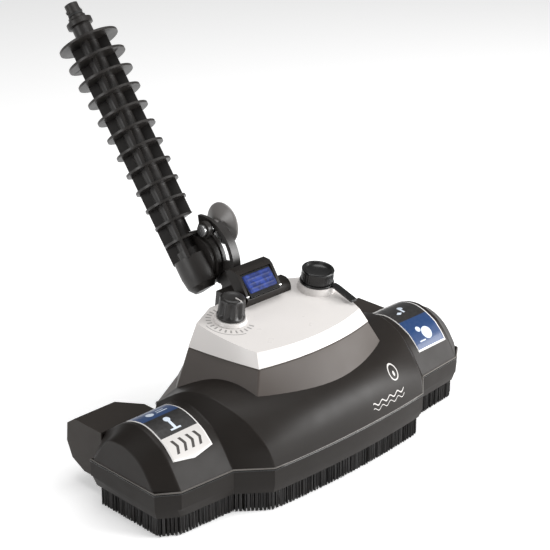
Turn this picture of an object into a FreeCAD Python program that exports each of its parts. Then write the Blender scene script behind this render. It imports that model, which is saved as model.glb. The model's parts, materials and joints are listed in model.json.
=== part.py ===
import FreeCAD, Part
import Sketcher
import math
import operator
import os

doc = FreeCAD.newDocument("sweeper_head")
V = FreeCAD.Vector

# ---------------------------------------------------------------- driving dimensions (mm, degrees)
# Heights that end in Rise are above the seam between the base and the cover.
# Y runs from front (-) to rear (+) with zero on the ridge line of the end pods.
sizes = {
    # base and brush
    "halfWidth": 210.0, "endFront": 42.2, "endRear": 46.2, "cornerX": 190.6, "cornerFront": 56.0,
    "podInnerX": 131.8, "podInnerFront": 60.5, "centreX": 103.2, "centreFront": 84.3,
    "noseFront": 89.6, "waistX": 119.7, "sternX": 95.0, "sternRear": 88.0,
    "seamHeight": 46.0, "wallHeight": 25.9, "lipHeight": 10.0, "lipInset": 3.5, "baseWall": 5.5,
    "deckThick": 3.0, "carrierHeight": 8.0, "carrierWidth": 8.0, "bristleInset": 6.0,
    "bristleWidth": 6.0, "stripGap": 0.3,
    # cover
    "coverWall": 3.0, "podRise": 45.0, "endRise": 33.5, "towerRise": 72.3, "towerFoot": 30.0,
    "towerFrontX": 74.6, "towerFront": 35.0, "towerBow": 9.7, "towerSideX": 88.1,
    "towerSideRear": 46.3, "towerRearX": 56.0, "towerRear": 63.5, "labelThick": 0.5,
    "labelFront": 45.0, "labelRear": 22.0, "labelInnerX": 141.0, "labelOuterX": 186.0,
    # nozzle hoods behind the pods
    "hoodOuterX": 196.0, "hoodInnerX": 148.0, "hoodRear": 99.0, "hoodTopRise": 22.5,
    "hoodDrop": 29.0, "hoodWall": 2.5,
    # top cap and tank
    "capTopRise": 89.3, "capSlope": 8.13, "capFrontX": 70.0, "capFront": 27.5, "capBow": 10.0,
    "capSideX": 78.3, "capSideRear": 43.1, "capCornerX": 79.8, "capRearX": 50.0, "capRear": 57.2,
    "capWall": 2.5, "tankWall": 2.5, "tankFloorRise": 22.0, "tankTopRise": 70.0,
    # filler
    "fillerX": 64.0, "fillerY": 25.5, "bossHeight": 7.0, "bossRadius": 17.8, "fillerBore": 11.0,
    "fillerNeck": 13.0, "fillerRadius": 16.3, "fillerHeight": 12.6, "strapRadius": 17.2,
    "strapThick": 2.2, "strapLength": 31.0, "strapWidth": 8.0,
    # selector
    "selectorX": -50.0, "selectorY": 28.5, "collarRadius": 16.5, "collarHeight": 4.0,
    "knobRadius": 13.8, "knobHeight": 22.0, "spindleRadius": 4.0, "spindleLength": 34.0,
    "valveRadius": 13.0, "valveHeight": 34.0,
    # pedal
    "pedalAngle": 48.65, "pedalY": 33.0, "pedalRise": 108.5, "pedalHalf": 19.6, "pedalLength": 21.0,
    "pedalThick": 5.0, "padHalf": 18.4, "padThick": 1.2, "pinRadius": 1.5, "housingHalf": 23.4,
    "cheekHalf": 40.0,
    # neck and swivel
    "pivotY": 114.0, "pivotRise": 120.0, "plateLeft": -5.0, "plateThick": 4.0, "armThick": 10.0,
    "plateRadius": 43.5, "slotInner": 29.5, "slotOuter": 38.5, "slotStart": 96.8, "slotEnd": 171.2,
    "bossFace": 2.0, "swivelRadius": 8.0, "nutRadius": 12.0,
    # wand
    "wandX": -19.0, "lean": 37.7, "discRadius": 28.5, "discLeft": -12.0, "discThick": 4.8,
    "footLength": 31.0, "footRadius": 18.5, "finCount": 13, "firstFin": 3.0, "finPitch": 20.1,
    "lowFinRadius": 18.6, "topFinRadius": 31.4, "finThick": 2.4, "webHalf": 19.6, "webThick": 3.0,
    "coreRadius": 9.5, "tubeRadius": 6.0, "tubeWall": 1.5, "flangeRadius": 13.4, "stemRadius": 7.0,
    "spigotLength": 43.0, "boltAngle": 104.0, "boltRadius": 4.0, "dishRadius": 22.0,
    # water parts
    "barRadius": 7.0, "barWall": 1.8, "barHalf": 150.0, "nozzleRadius": 4.0, "nozzleHeight": 9.0,
    "hoseRadius": 6.0, "screwRadius": 2.0, "screwHead": 4.0,
    # clearances
    "runClear": 0.05, "faceGap": 0.2, "looseGap": 0.5, "curveGap": 0.4,
}

sheet = doc.addObject("Spreadsheet::Sheet", "dims")
for row, (alias, value) in enumerate(sizes.items(), 1):
    sheet.set("A%d" % row, alias)
    sheet.set("B%d" % row, str(value))
    sheet.setAlias("B%d" % row, alias)
doc.recompute()


class Size:
    """A number together with the spreadsheet formula that gives it."""

    def __init__(self, value, text):
        self.value = value
        self.text = text

    def __float__(self):
        return float(self.value)

    def work(self, other, sign, step, swap=False):
        other = other if isinstance(other, Size) else Size(other, repr(other))
        first, last = (other, self) if swap else (self, other)
        return Size(step(first.value, last.value), "(%s %s %s)" % (first.text, sign, last.text))

    def __add__(self, other):
        return self.work(other, "+", operator.add)

    __radd__ = __add__

    def __sub__(self, other):
        return self.work(other, "-", operator.sub)

    def __rsub__(self, other):
        return self.work(other, "-", operator.sub, True)

    def __mul__(self, other):
        return self.work(other, "*", operator.mul)

    __rmul__ = __mul__

    def __truediv__(self, other):
        return self.work(other, "/", operator.truediv)

    def __neg__(self):
        return Size(-self.value, "(-%s)" % self.text)


class Dims:
    """Reads every alias of the sheet as a Size."""

    def __getattr__(self, alias):
        return Size(float(sheet.get(alias)), "dims." + alias)


d = Dims()


def sine(angle):
    return Size(math.sin(math.radians(angle.value)), "sin(%s)" % angle.text)


def cosine(angle):
    return Size(math.cos(math.radians(angle.value)), "cos(%s)" % angle.text)


seam = d.seamHeight
wandTip = d.firstFin + d.finPitch * (d.finCount - 1) + d.spigotLength
frontReach = -d.noseFront
rearReach = d.pivotY + wandTip * sine(d.lean) + d.stemRadius * cosine(d.lean)
middle = (frontReach + rearReach) / 2       # the frame's Y zero is the middle of the whole object
nodes = []


# ---------------------------------------------------------------- helpers
def bind(thing, field, size):
    if isinstance(size, Size):
        thing.setExpression(field, size.text)
    else:
        target, _, leaf = field.rpartition(".")
        if not target:
            setattr(thing, leaf, size)
        else:
            thing.setExpression(field, repr(float(size)))


def put(thing, x=0.0, y=0.0, z=0.0, turn=None):
    """Places a piece in the frame; turn is (axis, angle)."""
    if turn is not None:
        axis, angle = turn
        thing.Placement = FreeCAD.Placement(V(0, 0, 0), FreeCAD.Rotation(axis, float(angle)))
        if isinstance(angle, Size):
            thing.setExpression("Placement.Rotation.Angle", angle.text)
    for name, size in (("x", x), ("y", y - middle), ("z", z)):
        bind(thing, "Placement.Base." + name, size)
    return thing


def keep(label, thing):
    """Names a finished piece and puts it on the list that is exported."""
    thing.Label = label
    nodes.append(thing)
    return thing


def box(x0, x1, y0, y1, z0, z1):
    solid = doc.addObject("Part::Box", "box")
    for side, low, high in (("Length", x0, x1), ("Width", y0, y1), ("Height", z0, z1)):
        bind(solid, side, high - low)
    return put(solid, x0, y0, z0)


ALONG_X = (V(0, 1, 0), 90.0)
REARWARD = (V(1, 0, 0), -90.0)


def cylinder(radius, length, x, y, z, turn=None):
    solid = doc.addObject("Part::Cylinder", "cylinder")
    bind(solid, "Radius", radius)
    bind(solid, "Height", length)
    return put(solid, x, y, z, turn)


def fuse(*things):
    joined = doc.addObject("Part::MultiFuse", "fuse")
    joined.Shapes = list(things)
    return joined


def cut(base, *tools):
    cutter = tools[0] if len(tools) == 1 else fuse(*tools)
    result = doc.addObject("Part::Cut", "cut")
    result.Base, result.Tool = base, cutter
    return result


def group(things):
    """Separate equal solids held as one piece of the list."""
    holder = doc.addObject("Part::Compound", "group")
    holder.Links = list(things)
    return holder


def solidOf(shape):
    """A piece whose surface is built here from the sheet's sizes."""
    piece = doc.addObject("Part::Feature", "shape")
    piece.Shape = shape.Solids[0] if len(shape.Solids) == 1 else shape
    return put(piece)


def originPlane(body, role):
    return [part for part in body.Origin.OriginFeatures if part.Role == role][0]


def closedSketch(body, plane, corners):
    """A closed sketch of straight lines, every corner tied to the sheet."""
    sketch = body.newObject("Sketcher::SketchObject", "profile")
    sketch.AttachmentSupport = (originPlane(body, plane), [""])
    sketch.MapMode = "FlatFace"
    points = [V(float(a), float(b), 0) for a, b in corners]
    count = len(points)
    for i in range(count):
        sketch.addGeometry(Part.LineSegment(points[i], points[(i + 1) % count]), False)
    for i in range(count):
        sketch.addConstraint(Sketcher.Constraint("Coincident", i, 2, (i + 1) % count, 1))
    for i, corner in enumerate(corners):
        for kind, size in zip(("DistanceX", "DistanceY"), corner):
            index = sketch.addConstraint(Sketcher.Constraint(kind, -1, 1, i, 1, float(size)))
            if isinstance(size, Size):
                sketch.setExpression("Constraints[%d]" % index, size.text)
    return sketch


def turned(corners, x=0.0, y=0.0, z=0.0, turn=None):
    """A turned piece: corners are (radius, height) about its own Z axis."""
    body = doc.addObject("PartDesign::Body", "turned")
    sketch = closedSketch(body, "XZ_Plane", corners)
    spin = body.newObject("PartDesign::Revolution", "spin")
    spin.Profile = sketch
    spin.ReferenceAxis = (sketch, ["V_Axis"])
    spin.Angle = 360.0
    sketch.Visibility = False
    return put(body, x, y, z, turn)


def pad(corners, z0, z1, turn=None, x=0.0, y=0.0, z=0.0, plane="XY_Plane"):
    """A straight sided plate from z0 to z1 above its sketch plane."""
    body = doc.addObject("PartDesign::Body", "pad")
    sketch = closedSketch(body, plane, corners)
    sketch.AttachmentOffset = FreeCAD.Placement(V(0, 0, float(z0)), FreeCAD.Rotation())
    if isinstance(z0, Size):
        sketch.setExpression("AttachmentOffset.Base.z", z0.text)
    thick = body.newObject("PartDesign::Pad", "thick")
    thick.Profile = sketch
    bind(thick, "Length", z1 - z0)
    return put(body, x, y, z, turn)


def wire(start, *steps):
    """Edges from point to point; a step of two points is an arc (via, end)."""
    edges = []
    here = start
    for step in steps:
        if isinstance(step, tuple):
            via, there = step
            edges.append(Part.Arc(here, via, there).toShape())
        else:
            there = step
            edges.append(Part.LineSegment(here, there).toShape())
        here = there
    return Part.Wire(edges)


def num(*values):
    return [float(value) for value in values]


# ---------------------------------------------------------------- base outline
def baseFace(inset, height):
    """The plan of the base, drawn in by inset, as a flat face at the given height."""
    hw, ef, er, cx, cf = num(d.halfWidth, d.endFront, d.endRear, d.cornerX, d.cornerFront)
    px, pf, dx, df, nose = num(d.podInnerX, d.podInnerFront, d.centreX, d.centreFront, d.noseFront)
    wx, sx, sr = num(d.waistX, d.sternX, d.sternRear)
    left = [V(-hw, er, 0), V(-hw, -ef, 0), V(-cx, -cf, 0), V(-px, -pf, 0), V(-dx, -df, 0)]
    right = [V(-p.x, p.y, 0) for p in reversed(left)]
    stern = [V(wx, er, 0), V(sx, sr, 0), V(-sx, sr, 0), V(-wx, er, 0)]
    outline = wire(left[0], *left[1:], (V(0, -nose, 0), right[0]), *right[1:], *stern, left[0])
    face = Part.Face(outline)
    if inset:
        face = face.makeOffset2D(-float(inset)).Faces[0]
    face.translate(V(0, 0, float(height)))
    return face


def prism(face, height):
    return face.extrude(V(0, 0, float(height)))


baseBottom = seam - d.wallHeight
lipTop = baseBottom + d.lipHeight
bristleTop = baseBottom


def baseShape():
    upper = prism(baseFace(0, lipTop), seam - lipTop)
    edge = [baseFace(d.lipInset, baseBottom).OuterWire, baseFace(0, lipTop).OuterWire]
    lip = Part.makeLoft(edge, True, True)
    hollow = prism(baseFace(d.baseWall, baseBottom - 1), d.wallHeight - d.deckThick + 1)
    return upper.fuse(lip).removeSplitter().cut(hollow)


def ringShape(outer, width, bottom, height):
    return prism(baseFace(outer, bottom), height).cut(prism(baseFace(outer + width, bottom), height))


# ---------------------------------------------------------------- cover surface
def arch(x, points, inset):
    """One cross section of the cover: a curve over the given (y, rise) points, closed below."""
    inset = float(inset)
    crown = max(rise for _, rise in points)
    curve = []
    for y, rise in points:
        pull = inset if y < 0 else -inset
        share = min(1.0, abs(y) / 30.0)
        curve.append(V(x, y + pull * share, float(seam) + max(0.0, rise - inset * rise / crown)))
    top = Part.BSplineCurve()
    top.interpolate(curve)
    low = V(x, curve[-1].y, float(seam))
    return Part.Wire([top.toShape(), Part.LineSegment(curve[-1], low).toShape(),
                      Part.LineSegment(low, curve[0]).toShape()])


def coverSections():
    """Half of the cover's cross sections, from the middle to one end."""
    nose, df, pf, cf, ef, er = num(d.noseFront, d.centreFront, d.podInnerFront, d.cornerFront,
                                   d.endFront, d.endRear)
    pod, end, tower = num(d.podRise, d.endRise, d.towerRise)
    cx, px, dx, hw = num(d.cornerX, d.podInnerX, d.centreX, d.halfWidth)
    crown = [(-0.83, 0.37), (-0.49, 0.81), (0, 1.0), (0.54, 0.82), (1.0, 0.5)]

    def podCurve(front, rise):
        return [(-front, 0)] + [(y * (front if y < 0 else er), share * rise) for y, share in crown]

    shoulder = [(-df, 0), (-0.9 * df, 0.16 * tower), (-0.53 * df, 0.38 * tower),
                (0, 0.55 * tower), (0.63 * er, 0.5 * tower), (er, 0.4 * tower)]
    flank = [(-df - 1.7, 0), (-df + 7.3, 0.3 * tower), (-0.52 * df, 0.66 * tower),
             (0, 0.72 * tower), (0.6 * er, 0.61 * tower), (er, 0.47 * tower)]
    centre = [(-nose, 0), (-0.915 * nose, 0.33 * tower), (-0.7 * nose, 0.67 * tower),
              (0, 0.8 * tower), (0.54 * er, 0.72 * tower), (er, 0.55 * tower)]
    tip = [(-0.93 * ef, 0), (-0.78 * ef, 0.42 * end), (-0.4 * ef, 0.84 * end), (4, end),
           (0.6 * er, 0.72 * end), (0.96 * er, 0.08 * end)]
    return [(0, centre), (float(d.towerFrontX) + 11.6, flank), (dx, shoulder),
            (px, podCurve(pf, pod)), (cx, podCurve(cf, pod)), (hw - 1, tip)]


def archBody(inset):
    half = coverSections()
    wall = float(inset)
    last = len(half) - 1
    wires = []
    for side in (-1, 1):
        order = range(last, 0, -1) if side < 0 else range(0, last + 1)
        for i in order:
            x, points = half[i]
            pull = wall if i == last else 0.0
            wires.append(arch(side * (x - pull), points, inset))
    return Part.makeLoft(wires, True, True)


def towerPlan(rise, grow, inset):
    """Plan of the tower at a rise; grow spreads its foot."""
    fx, f, bow = num(d.towerFrontX, d.towerFront, d.towerBow)
    sx, sr, rx, rr = num(d.towerSideX, d.towerSideRear, d.towerRearX, d.towerRear)
    k = float(inset)
    z = float(seam) + rise
    front = V(fx + 20.2 * grow - k, -f - 15.3 * grow + k, z)
    side = V(sx + 18.5 * grow - k, sr - k * 0.3, z)
    rear = V(rx + 28 * grow - k * 0.6, rr + 14.2 * grow - k, z)
    mirror = [V(-p.x, p.y, z) for p in (front, side, rear)]
    nose = V(0, -f - bow - 31.3 * grow + k, z)
    return wire(mirror[0], (nose, front), side, rear, mirror[2], mirror[1], mirror[0])


def apronPlan(rise, spread, inset):
    """Plan of the rear apron below the tower."""
    wx, er, sx, sr = num(d.waistX, d.endRear, d.sternX, d.sternRear)
    sx1, sr1, rx1, rr1 = num(d.towerSideX, d.towerSideRear, d.towerRearX, d.towerRear)
    k = float(inset)
    z = float(seam) + rise
    side = (wx - k) + (sx1 + 18.5 - wx) * spread
    stern = (sx - k) + (rx1 + 28 - sx) * spread
    back = (sr - k) + (rr1 + 14.2 - sr) * spread
    start = 30.0
    pts = [V(-side, start, z), V(side, start, z), V(side, er, z), V(stern, back, z),
           V(-stern, back, z), V(-side, er, z)]
    return wire(pts[0], *pts[1:], pts[0])


def coverSolid(inset, top):
    """The whole outside of the cover, or its inside when inset is the wall."""
    rise, foot = float(top), float(d.towerFoot)
    tower = Part.makeLoft([towerPlan(foot, 1.0, inset), towerPlan(rise, 0.0, inset)], True, True)
    apron = Part.makeLoft([apronPlan(0, 0.0, inset), apronPlan(foot, 1.0, inset)], True, True)
    return archBody(inset).fuse([tower, apron])


def coverShape():
    outer = coverSolid(0, d.towerRise)
    inner = coverSolid(d.coverWall, d.towerRise)
    return outer.cut(inner)


# ---------------------------------------------------------------- base, carrier and brush
screwSpots = [(-198, 20), (-160, -48), (-112, -60), (112, -60), (160, -48), (198, 20)]


def screwHoles(radius, z0, z1):
    tools = [cylinder(radius, z1 - z0, x, y, z0) for x, y in screwSpots]
    return fuse(*tools)


inletZ = seam + 38.0
neckScrewSpots = [(x, z) for x in (-15.0, 15.0) for z in (88.0, 108.0)]
screwBoss = d.screwRadius + 2.6
stubRadius = 5.0
barRows = (("front_spray_bar", "front_nozzles", -30.0), ("rear_spray_bar", "rear_nozzles", 22.0))
base = cut(solidOf(baseShape()), screwHoles(d.screwRadius + d.faceGap, seam - 5, seam + 1),
           *[cylinder(stubRadius + d.faceGap, 8, 0, y, seam - 5) for _, _, y in barRows])
keep("base_frame", base)

carrier = ringShape(d.baseWall + d.faceGap, d.carrierWidth, baseBottom, d.carrierHeight)
keep("brush_carrier", solidOf(carrier))


def bristleStrip(x0, x1, y0, y1):
    """The part of the bristle ring that lies inside a plan window."""
    ring = ringShape(d.bristleInset, d.bristleWidth, 0, bristleTop)
    window = Part.makeBox(x1 - x0, y1 - y0, 100, V(x0, y0, -10))
    return solidOf(ring.common(window))


gap = float(d.stripGap)
front, side = float(d.centreX) - 3, 200.0
for label, window in (
        ("brush_front_center", (-front, front, -100, -60)),
        ("brush_front_left", (-220, -front - gap, -100, -38)),
        ("brush_front_right", (front + gap, 220, -100, -38)),
        ("brush_side_left", (-220, -190, -38 + gap, 30)),
        ("brush_side_right", (190, 220, -38 + gap, 30)),
        ("brush_rear_left", (-220, -90, 30 + gap, 100)),
        ("brush_rear_center", (-90 + gap, 90 - gap, 70, 100)),
        ("brush_rear_right", (90, 220, 30 + gap, 100))):
    keep(label, bristleStrip(*window))

# ---------------------------------------------------------------- cover, labels and hoods
def coverBosses():
    """Screw posts inside the cover, trimmed to its outer surface."""
    height = float(d.towerRise)
    posts = [Part.makeCylinder(float(screwBoss), height, V(x, y, float(seam))) for x, y in screwSpots]
    return posts[0].fuse(posts[1:]).common(coverSolid(0, d.towerRise))


elbowHole = cylinder(d.hoseRadius + d.faceGap, 60, 0, 50.0, inletZ, REARWARD)
neckHoles = [cylinder(d.screwRadius, 60, x, 50.0, z, REARWARD) for x, z in neckScrewSpots]
postHoles = [cylinder(d.screwRadius, 13, x, y, seam - 1) for x, y in screwSpots]
keep("upper_cover", cut(solidOf(coverShape().fuse(coverBosses())), elbowHole, *neckHoles, *postHoles))


def labelShape(side):
    """A thin sticker that follows the curve of an end pod."""
    x0, x1 = sorted((side * float(d.labelInnerX), side * float(d.labelOuterX)))
    window = Part.makeBox(x1 - x0, float(d.labelFront + d.labelRear), 60,
                          V(x0, -float(d.labelFront), float(seam) + 18))
    thick = float(d.labelThick)
    return archBody(-thick).cut(archBody(0)).common(window)


for side, label in ((-1, "label_left"), (1, "label_right")):
    keep(label, solidOf(labelShape(side)))


def hoodShape(side):
    """A hollow hood behind a pod, open below, that shields the rear jets."""
    outer, inner, back, top = num(d.hoodOuterX, d.hoodInnerX, d.hoodRear, d.hoodTopRise)
    z0, start, wall = float(seam), float(d.endRear + d.faceGap), float(d.hoodWall)
    drop = float(d.hoodDrop)

    def section(x, reach, k):
        far = start + (back - start) * reach - k
        low = z0 - drop - (1 if k else 0)
        pts = [V(x, start, low), V(x, far - 24 + k * 0.4, low), V(x, far - 7, z0 - 0.72 * drop),
               V(x, far, z0 - 5), V(x, far - 2, z0 + 14), V(x, far - 14, z0 + top - k),
               V(x, start, z0 + top - k)]
        return wire(pts[0], *pts[1:], pts[0])

    outside = Part.makeLoft([section(side * outer, 1.0, 0), section(side * inner, 1.0, 0),
                             section(side * (inner - 17), 0.55, 0)], True, True)
    hollow = Part.makeLoft([section(side * (outer - wall), 1.0, wall),
                            section(side * (inner - 0.4 * wall), 1.0, wall),
                            section(side * (inner - 17 + wall), 0.55, wall)], True, True)
    return outside.cut(hollow)


for side, label in ((-1, "nozzle_hood_left"), (1, "nozzle_hood_right")):
    keep(label, solidOf(hoodShape(side)))

# ---------------------------------------------------------------- top cap
capFloor = seam + d.towerRise + d.faceGap
slope = math.tan(math.radians(float(d.capSlope)))
tilt = (V(1, 0, 0), d.capSlope)


def topHeight(y, extra=0.0):
    """Height of the cap's sloping top at a depth."""
    return float(seam + d.capTopRise) + slope * y + extra


def capWires(inset, drop):
    k = float(inset)
    fx, f, bow = num(d.towerFrontX, d.towerFront, d.towerBow)
    sx, sr, rx, rr = num(d.towerSideX, d.towerSideRear, d.towerRearX, d.towerRear)
    z = float(capFloor) - (1 if k else 0)
    low = [V(fx - k, -f + k, z), V(sx - k, sr - 0.3 * k, z), V(rx - 0.6 * k, rr - k, z)]
    lowSide = V((fx + sx) / 2 + 1.5 - k, (sr - f) / 2, z)
    tx, tf, tbow = num(d.capFrontX, d.capFront, d.capBow)
    mid, tsr, cx, rx2, rr2 = num(d.capSideX, d.capSideRear, d.capCornerX, d.capRearX, d.capRear)

    def high(x, y):
        return V(x, y, topHeight(y, -float(drop)))

    top = [high(tx - k, -tf + k), high(cx - k, tsr - 0.3 * k), high(rx2 - 0.6 * k, rr2 - k)]
    topSide = high(mid - k, (tsr - tf) / 2)
    nose = (V(0, -f - bow + k, z), high(0, -tf - tbow + k))
    wires = []
    for (a, b, c), side, tipPoint in ((low, lowSide, nose[0]), (top, topSide, nose[1])):
        flip = [V(-p.x, p.y, p.z) for p in (a, b, c, side)]
        wires.append(wire(flip[0], (tipPoint, a), (side, b), c, flip[2], flip[1],
                          (flip[3], flip[0])))
    return wires


def onTop(x, y):
    """Place of a point of the cap's sloping top, as put() takes it."""
    return x, y, topHeight(float(y))


def topTurned(spot, corners):
    """A turned piece that stands square on the sloping top."""
    return turned(corners, *onTop(*spot), tilt)


def plug(spot, radius, low, high):
    return topTurned(spot, [(0, low), (radius, low), (radius, high), (0, high)])


def pipe(inner, outer, low, high):
    return [(inner, low), (outer, low), (outer, high), (inner, high)]


fillerSpot = (d.fillerX, d.fillerY)
selectorSpot = (d.selectorX, d.selectorY)
capSkin = Part.makeLoft(capWires(0, 0), True, True)
capHollow = Part.makeLoft(capWires(d.capWall, d.capWall), True, True)
shell = solidOf(capSkin.cut(capHollow))
bossFoot = d.bossRadius + 1.5
boss = topTurned(fillerSpot, [(0, -d.capWall), (bossFoot, -d.capWall), (bossFoot, 0),
                              (d.bossRadius, d.bossHeight), (0, d.bossHeight)])
neckHole = plug(fillerSpot, d.fillerNeck + d.curveGap, -8, d.bossHeight + 8)
spindleHole = plug(selectorSpot, d.spindleRadius + 1.5, -8, 8)
keep("top_cap", cut(fuse(shell, boss), neckHole, spindleHole))

# ---------------------------------------------------------------- detergent tank and filler
tankLow, tankHigh = seam + d.tankFloorRise, seam + d.tankTopRise
tankPlan = [(-24, -26), (58, -26), (78, 12), (78, 42), (-24, 44)]


def inward(corner, wall):
    """A plan corner moved in from every side by the wall."""
    x, y = corner
    return (x - wall if x > 0 else x + wall), (y - wall if y > 0 else y + wall)


neckTop = d.bossHeight + 3
tankOutside = pad(tankPlan, 0, tankHigh - tankLow, z=tankLow)
tankInside = pad([inward(corner, d.tankWall) for corner in tankPlan], 0,
                 tankHigh - tankLow - 2 * d.tankWall, z=tankLow + d.tankWall)
neck = plug(fillerSpot, d.fillerNeck, -28, neckTop)
bore = plug(fillerSpot, d.fillerBore, -34, neckTop + 1)
suctionY, suctionZ = 32.0, seam + 60
smallBore = 1.8
suctionHole = cylinder(smallBore, 6, -26, suctionY, suctionZ, ALONG_X)
keep("detergent_tank", cut(fuse(tankOutside, neck), tankInside, bore, suctionHole))

strapBase = d.bossHeight + d.faceGap
strapTop = strapBase + d.strapThick
ring = topTurned(fillerSpot, pipe(d.fillerNeck + d.curveGap, d.strapRadius, strapBase, strapTop))
strapX, strapFar = d.fillerX + 7, 14 + d.strapLength
strapSide = d.strapWidth / 2
strapDip, strapBend = 4.2, 21.0
strapEdge = [(-15, strapBase), (-strapBend, strapBase), (-strapFar, strapBase - strapDip),
             (-strapFar, strapTop - strapDip), (-strapBend, strapTop), (-15, strapTop)]
strapAt = (strapX, d.fillerY, topHeight(float(d.fillerY)))
strap = pad(strapEdge, -strapSide, strapSide, tilt, *strapAt, "YZ_Plane")
keep("filler_strap", fuse(ring, strap))

capBase = strapTop + d.faceGap
capTop = capBase + d.fillerHeight
dish = 4.0
rim = 2.4
skirt = d.fillerNeck + d.curveGap
plugRadius = d.fillerBore - d.curveGap
sealLow = capBase - 5.2
keep("filler_cap", topTurned(fillerSpot, [
    (0, capBase - 8), (plugRadius, capBase - 8), (plugRadius, sealLow), (plugRadius - 1.2, sealLow),
    (plugRadius - 1.2, sealLow + 1.8), (plugRadius, sealLow + 1.8), (plugRadius, neckTop + d.faceGap),
    (skirt, neckTop + d.faceGap), (skirt, capBase), (d.fillerRadius, capBase),
    (d.fillerRadius, capTop), (d.fillerRadius - rim, capTop), (d.fillerRadius - rim - 1, capTop - dish),
    (0, capTop - dish)]))

# ---------------------------------------------------------------- selector and metering valve
keep("selector_collar", topTurned(selectorSpot, [
    (d.spindleRadius + 1.5, d.faceGap), (d.collarRadius, d.faceGap),
    (d.collarRadius - 1.5, d.collarHeight), (d.spindleRadius + 1.5, d.collarHeight)]))
knobFoot = d.collarHeight + d.curveGap
knobTop = knobFoot + d.knobHeight
knobBody = topTurned(selectorSpot, [
    (0, knobFoot), (d.knobRadius, knobFoot), (d.knobRadius, knobTop - 1.2),
    (d.knobRadius - 1.2, knobTop), (0, knobTop)])
socket = plug(selectorSpot, d.spindleRadius, knobFoot - 1, knobFoot + 12)
grips = 9
gripLow, gripHigh = knobFoot + 2, knobTop - 3.5
scallops = []
for i in range(grips):
    angle = 2 * math.pi * i / grips
    reach = float(d.knobRadius) + 2.4
    x = float(d.selectorX) + reach * math.cos(angle)
    y = float(d.selectorY) + reach * math.sin(angle) * math.cos(math.radians(float(d.capSlope)))
    scallops.append(topTurned((x, y), [(0, gripLow), (3.6, gripLow), (3.6, gripHigh), (0, gripHigh)]))
keep("selector_knob", cut(knobBody, socket, *scallops))
spindleLow = -d.spindleLength
keep("selector_spindle", plug(selectorSpot, d.spindleRadius, spindleLow, knobFoot + 12))
valveTop = -d.capWall - 3.0
valveLow = spindleLow - 8
valveBore = d.spindleRadius + d.runClear
valveFloor = spindleLow - d.faceGap
valveInlet = cylinder(smallBore, d.valveRadius + 3, d.selectorX, suctionY, suctionZ, ALONG_X)
keep("metering_valve", cut(topTurned(selectorSpot, [
    (smallBore, valveLow), (d.valveRadius, valveLow), (d.valveRadius, valveTop),
    (valveBore, valveTop), (valveBore, valveFloor), (smallBore, valveFloor)]), valveInlet))

# ---------------------------------------------------------------- pedal
pedalTurn = (V(1, 0, 0), d.pedalAngle)
pedalPlace = (0.0, d.pedalY, seam + d.pedalRise)
pinY, pinZ = -0.6, -2.6
sideGap = 0.5
pocketDepth = 8.4


def pedalBox(x, y0, y1, z0, z1):
    """A block in the pedal's own leaning frame, x wide each side of the middle."""
    return pad([(-x, y0), (x, y0), (x, y1), (-x, y1)], z0, z1, pedalTurn, *pedalPlace)


def pedalRod(radius, half):
    rod = turned([(0, -half), (radius, -half), (radius, half), (0, half)])
    lean = FreeCAD.Rotation(V(1, 0, 0), float(d.pedalAngle))
    base = V(0, float(d.pedalY - middle), float(seam + d.pedalRise))
    spin = FreeCAD.Rotation(V(0, 1, 0), 90)
    for name in "xyz":
        rod.setExpression("Placement.Base." + name, None)
    rod.Placement = FreeCAD.Placement(base + lean.multVec(V(0, pinY, pinZ)), lean.multiply(spin))
    return rod


pedalLow = -3.0
pedalHigh = pedalLow + d.pedalLength + 3
pedalBlock = pedalBox(d.pedalHalf, pedalLow, pedalHigh, -d.pedalThick, 0)
keep("foot_pedal", cut(pedalBlock, pedalRod(d.pinRadius + d.runClear, d.pedalHalf + 1)))
keep("pedal_pad", pedalBox(d.padHalf, 1.5, 18.0, 0, d.padThick))
pocket = pedalBox(d.pedalHalf + sideGap, pedalLow - sideGap, pedalHigh + sideGap, -pocketDepth, 12)


def raised(y, rise):
    """A point of the side plane, a rise above the seam."""
    return V(0, y, float(seam) + rise)


def seated(y):
    return V(0, y, topHeight(y, float(d.faceGap)))


def across(outline, half):
    """A solid with the outline's side view, half wide each side of the middle."""
    face = Part.Face(outline)
    face.translate(V(-float(half), 0, 0))
    return face.extrude(V(2 * float(half), 0, 0))


houseFront, houseRear = 36.6, 50.6
hump = across(wire(seated(houseFront), raised(31.5, 104), raised(46, 125.5), raised(50, 128.5),
                   raised(58, 129), raised(62.3, 124), raised(houseRear, 108.5), seated(houseRear),
                   seated(houseFront)), d.housingHalf)
cheeks = across(wire(seated(houseFront), (raised(39, 104), raised(45, 107)), raised(houseRear, 107),
                     seated(houseRear), seated(houseFront)), d.cheekHalf)
knobClear = plug(selectorSpot, d.collarRadius + d.curveGap, -2, knobTop)
keep("pedal_housing", cut(solidOf(hump.fuse(cheeks).removeSplitter()), pocket, knobClear,
                          pedalRod(d.pinRadius, d.housingHalf + 1)))
keep("pedal_pin", pedalRod(d.pinRadius, d.housingHalf))

# a folded leaf spring between the pocket's floor and the pedal
leaf, leafRear, leafFold = 0.5, 18.0, 9.5
floorZ, underZ = -pocketDepth, -d.pedalThick - 0.1
leafEdge = [(leafFold, floorZ), (leafRear, floorZ), (leafRear, floorZ + leaf),
            (leafFold + 1.3, floorZ + leaf), (leafRear, underZ - leaf), (leafRear, underZ),
            (leafRear - 0.4, underZ), (leafFold, floorZ + leaf)]
keep("pedal_spring", pad(leafEdge, -6.0, 6.0, pedalTurn, *pedalPlace, "YZ_Plane"))

# ---------------------------------------------------------------- neck, swivel and clamp
pivotZ = seam + d.pivotRise
plateRight = d.plateLeft + d.plateThick
armRight = d.plateLeft + d.armThick


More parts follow.
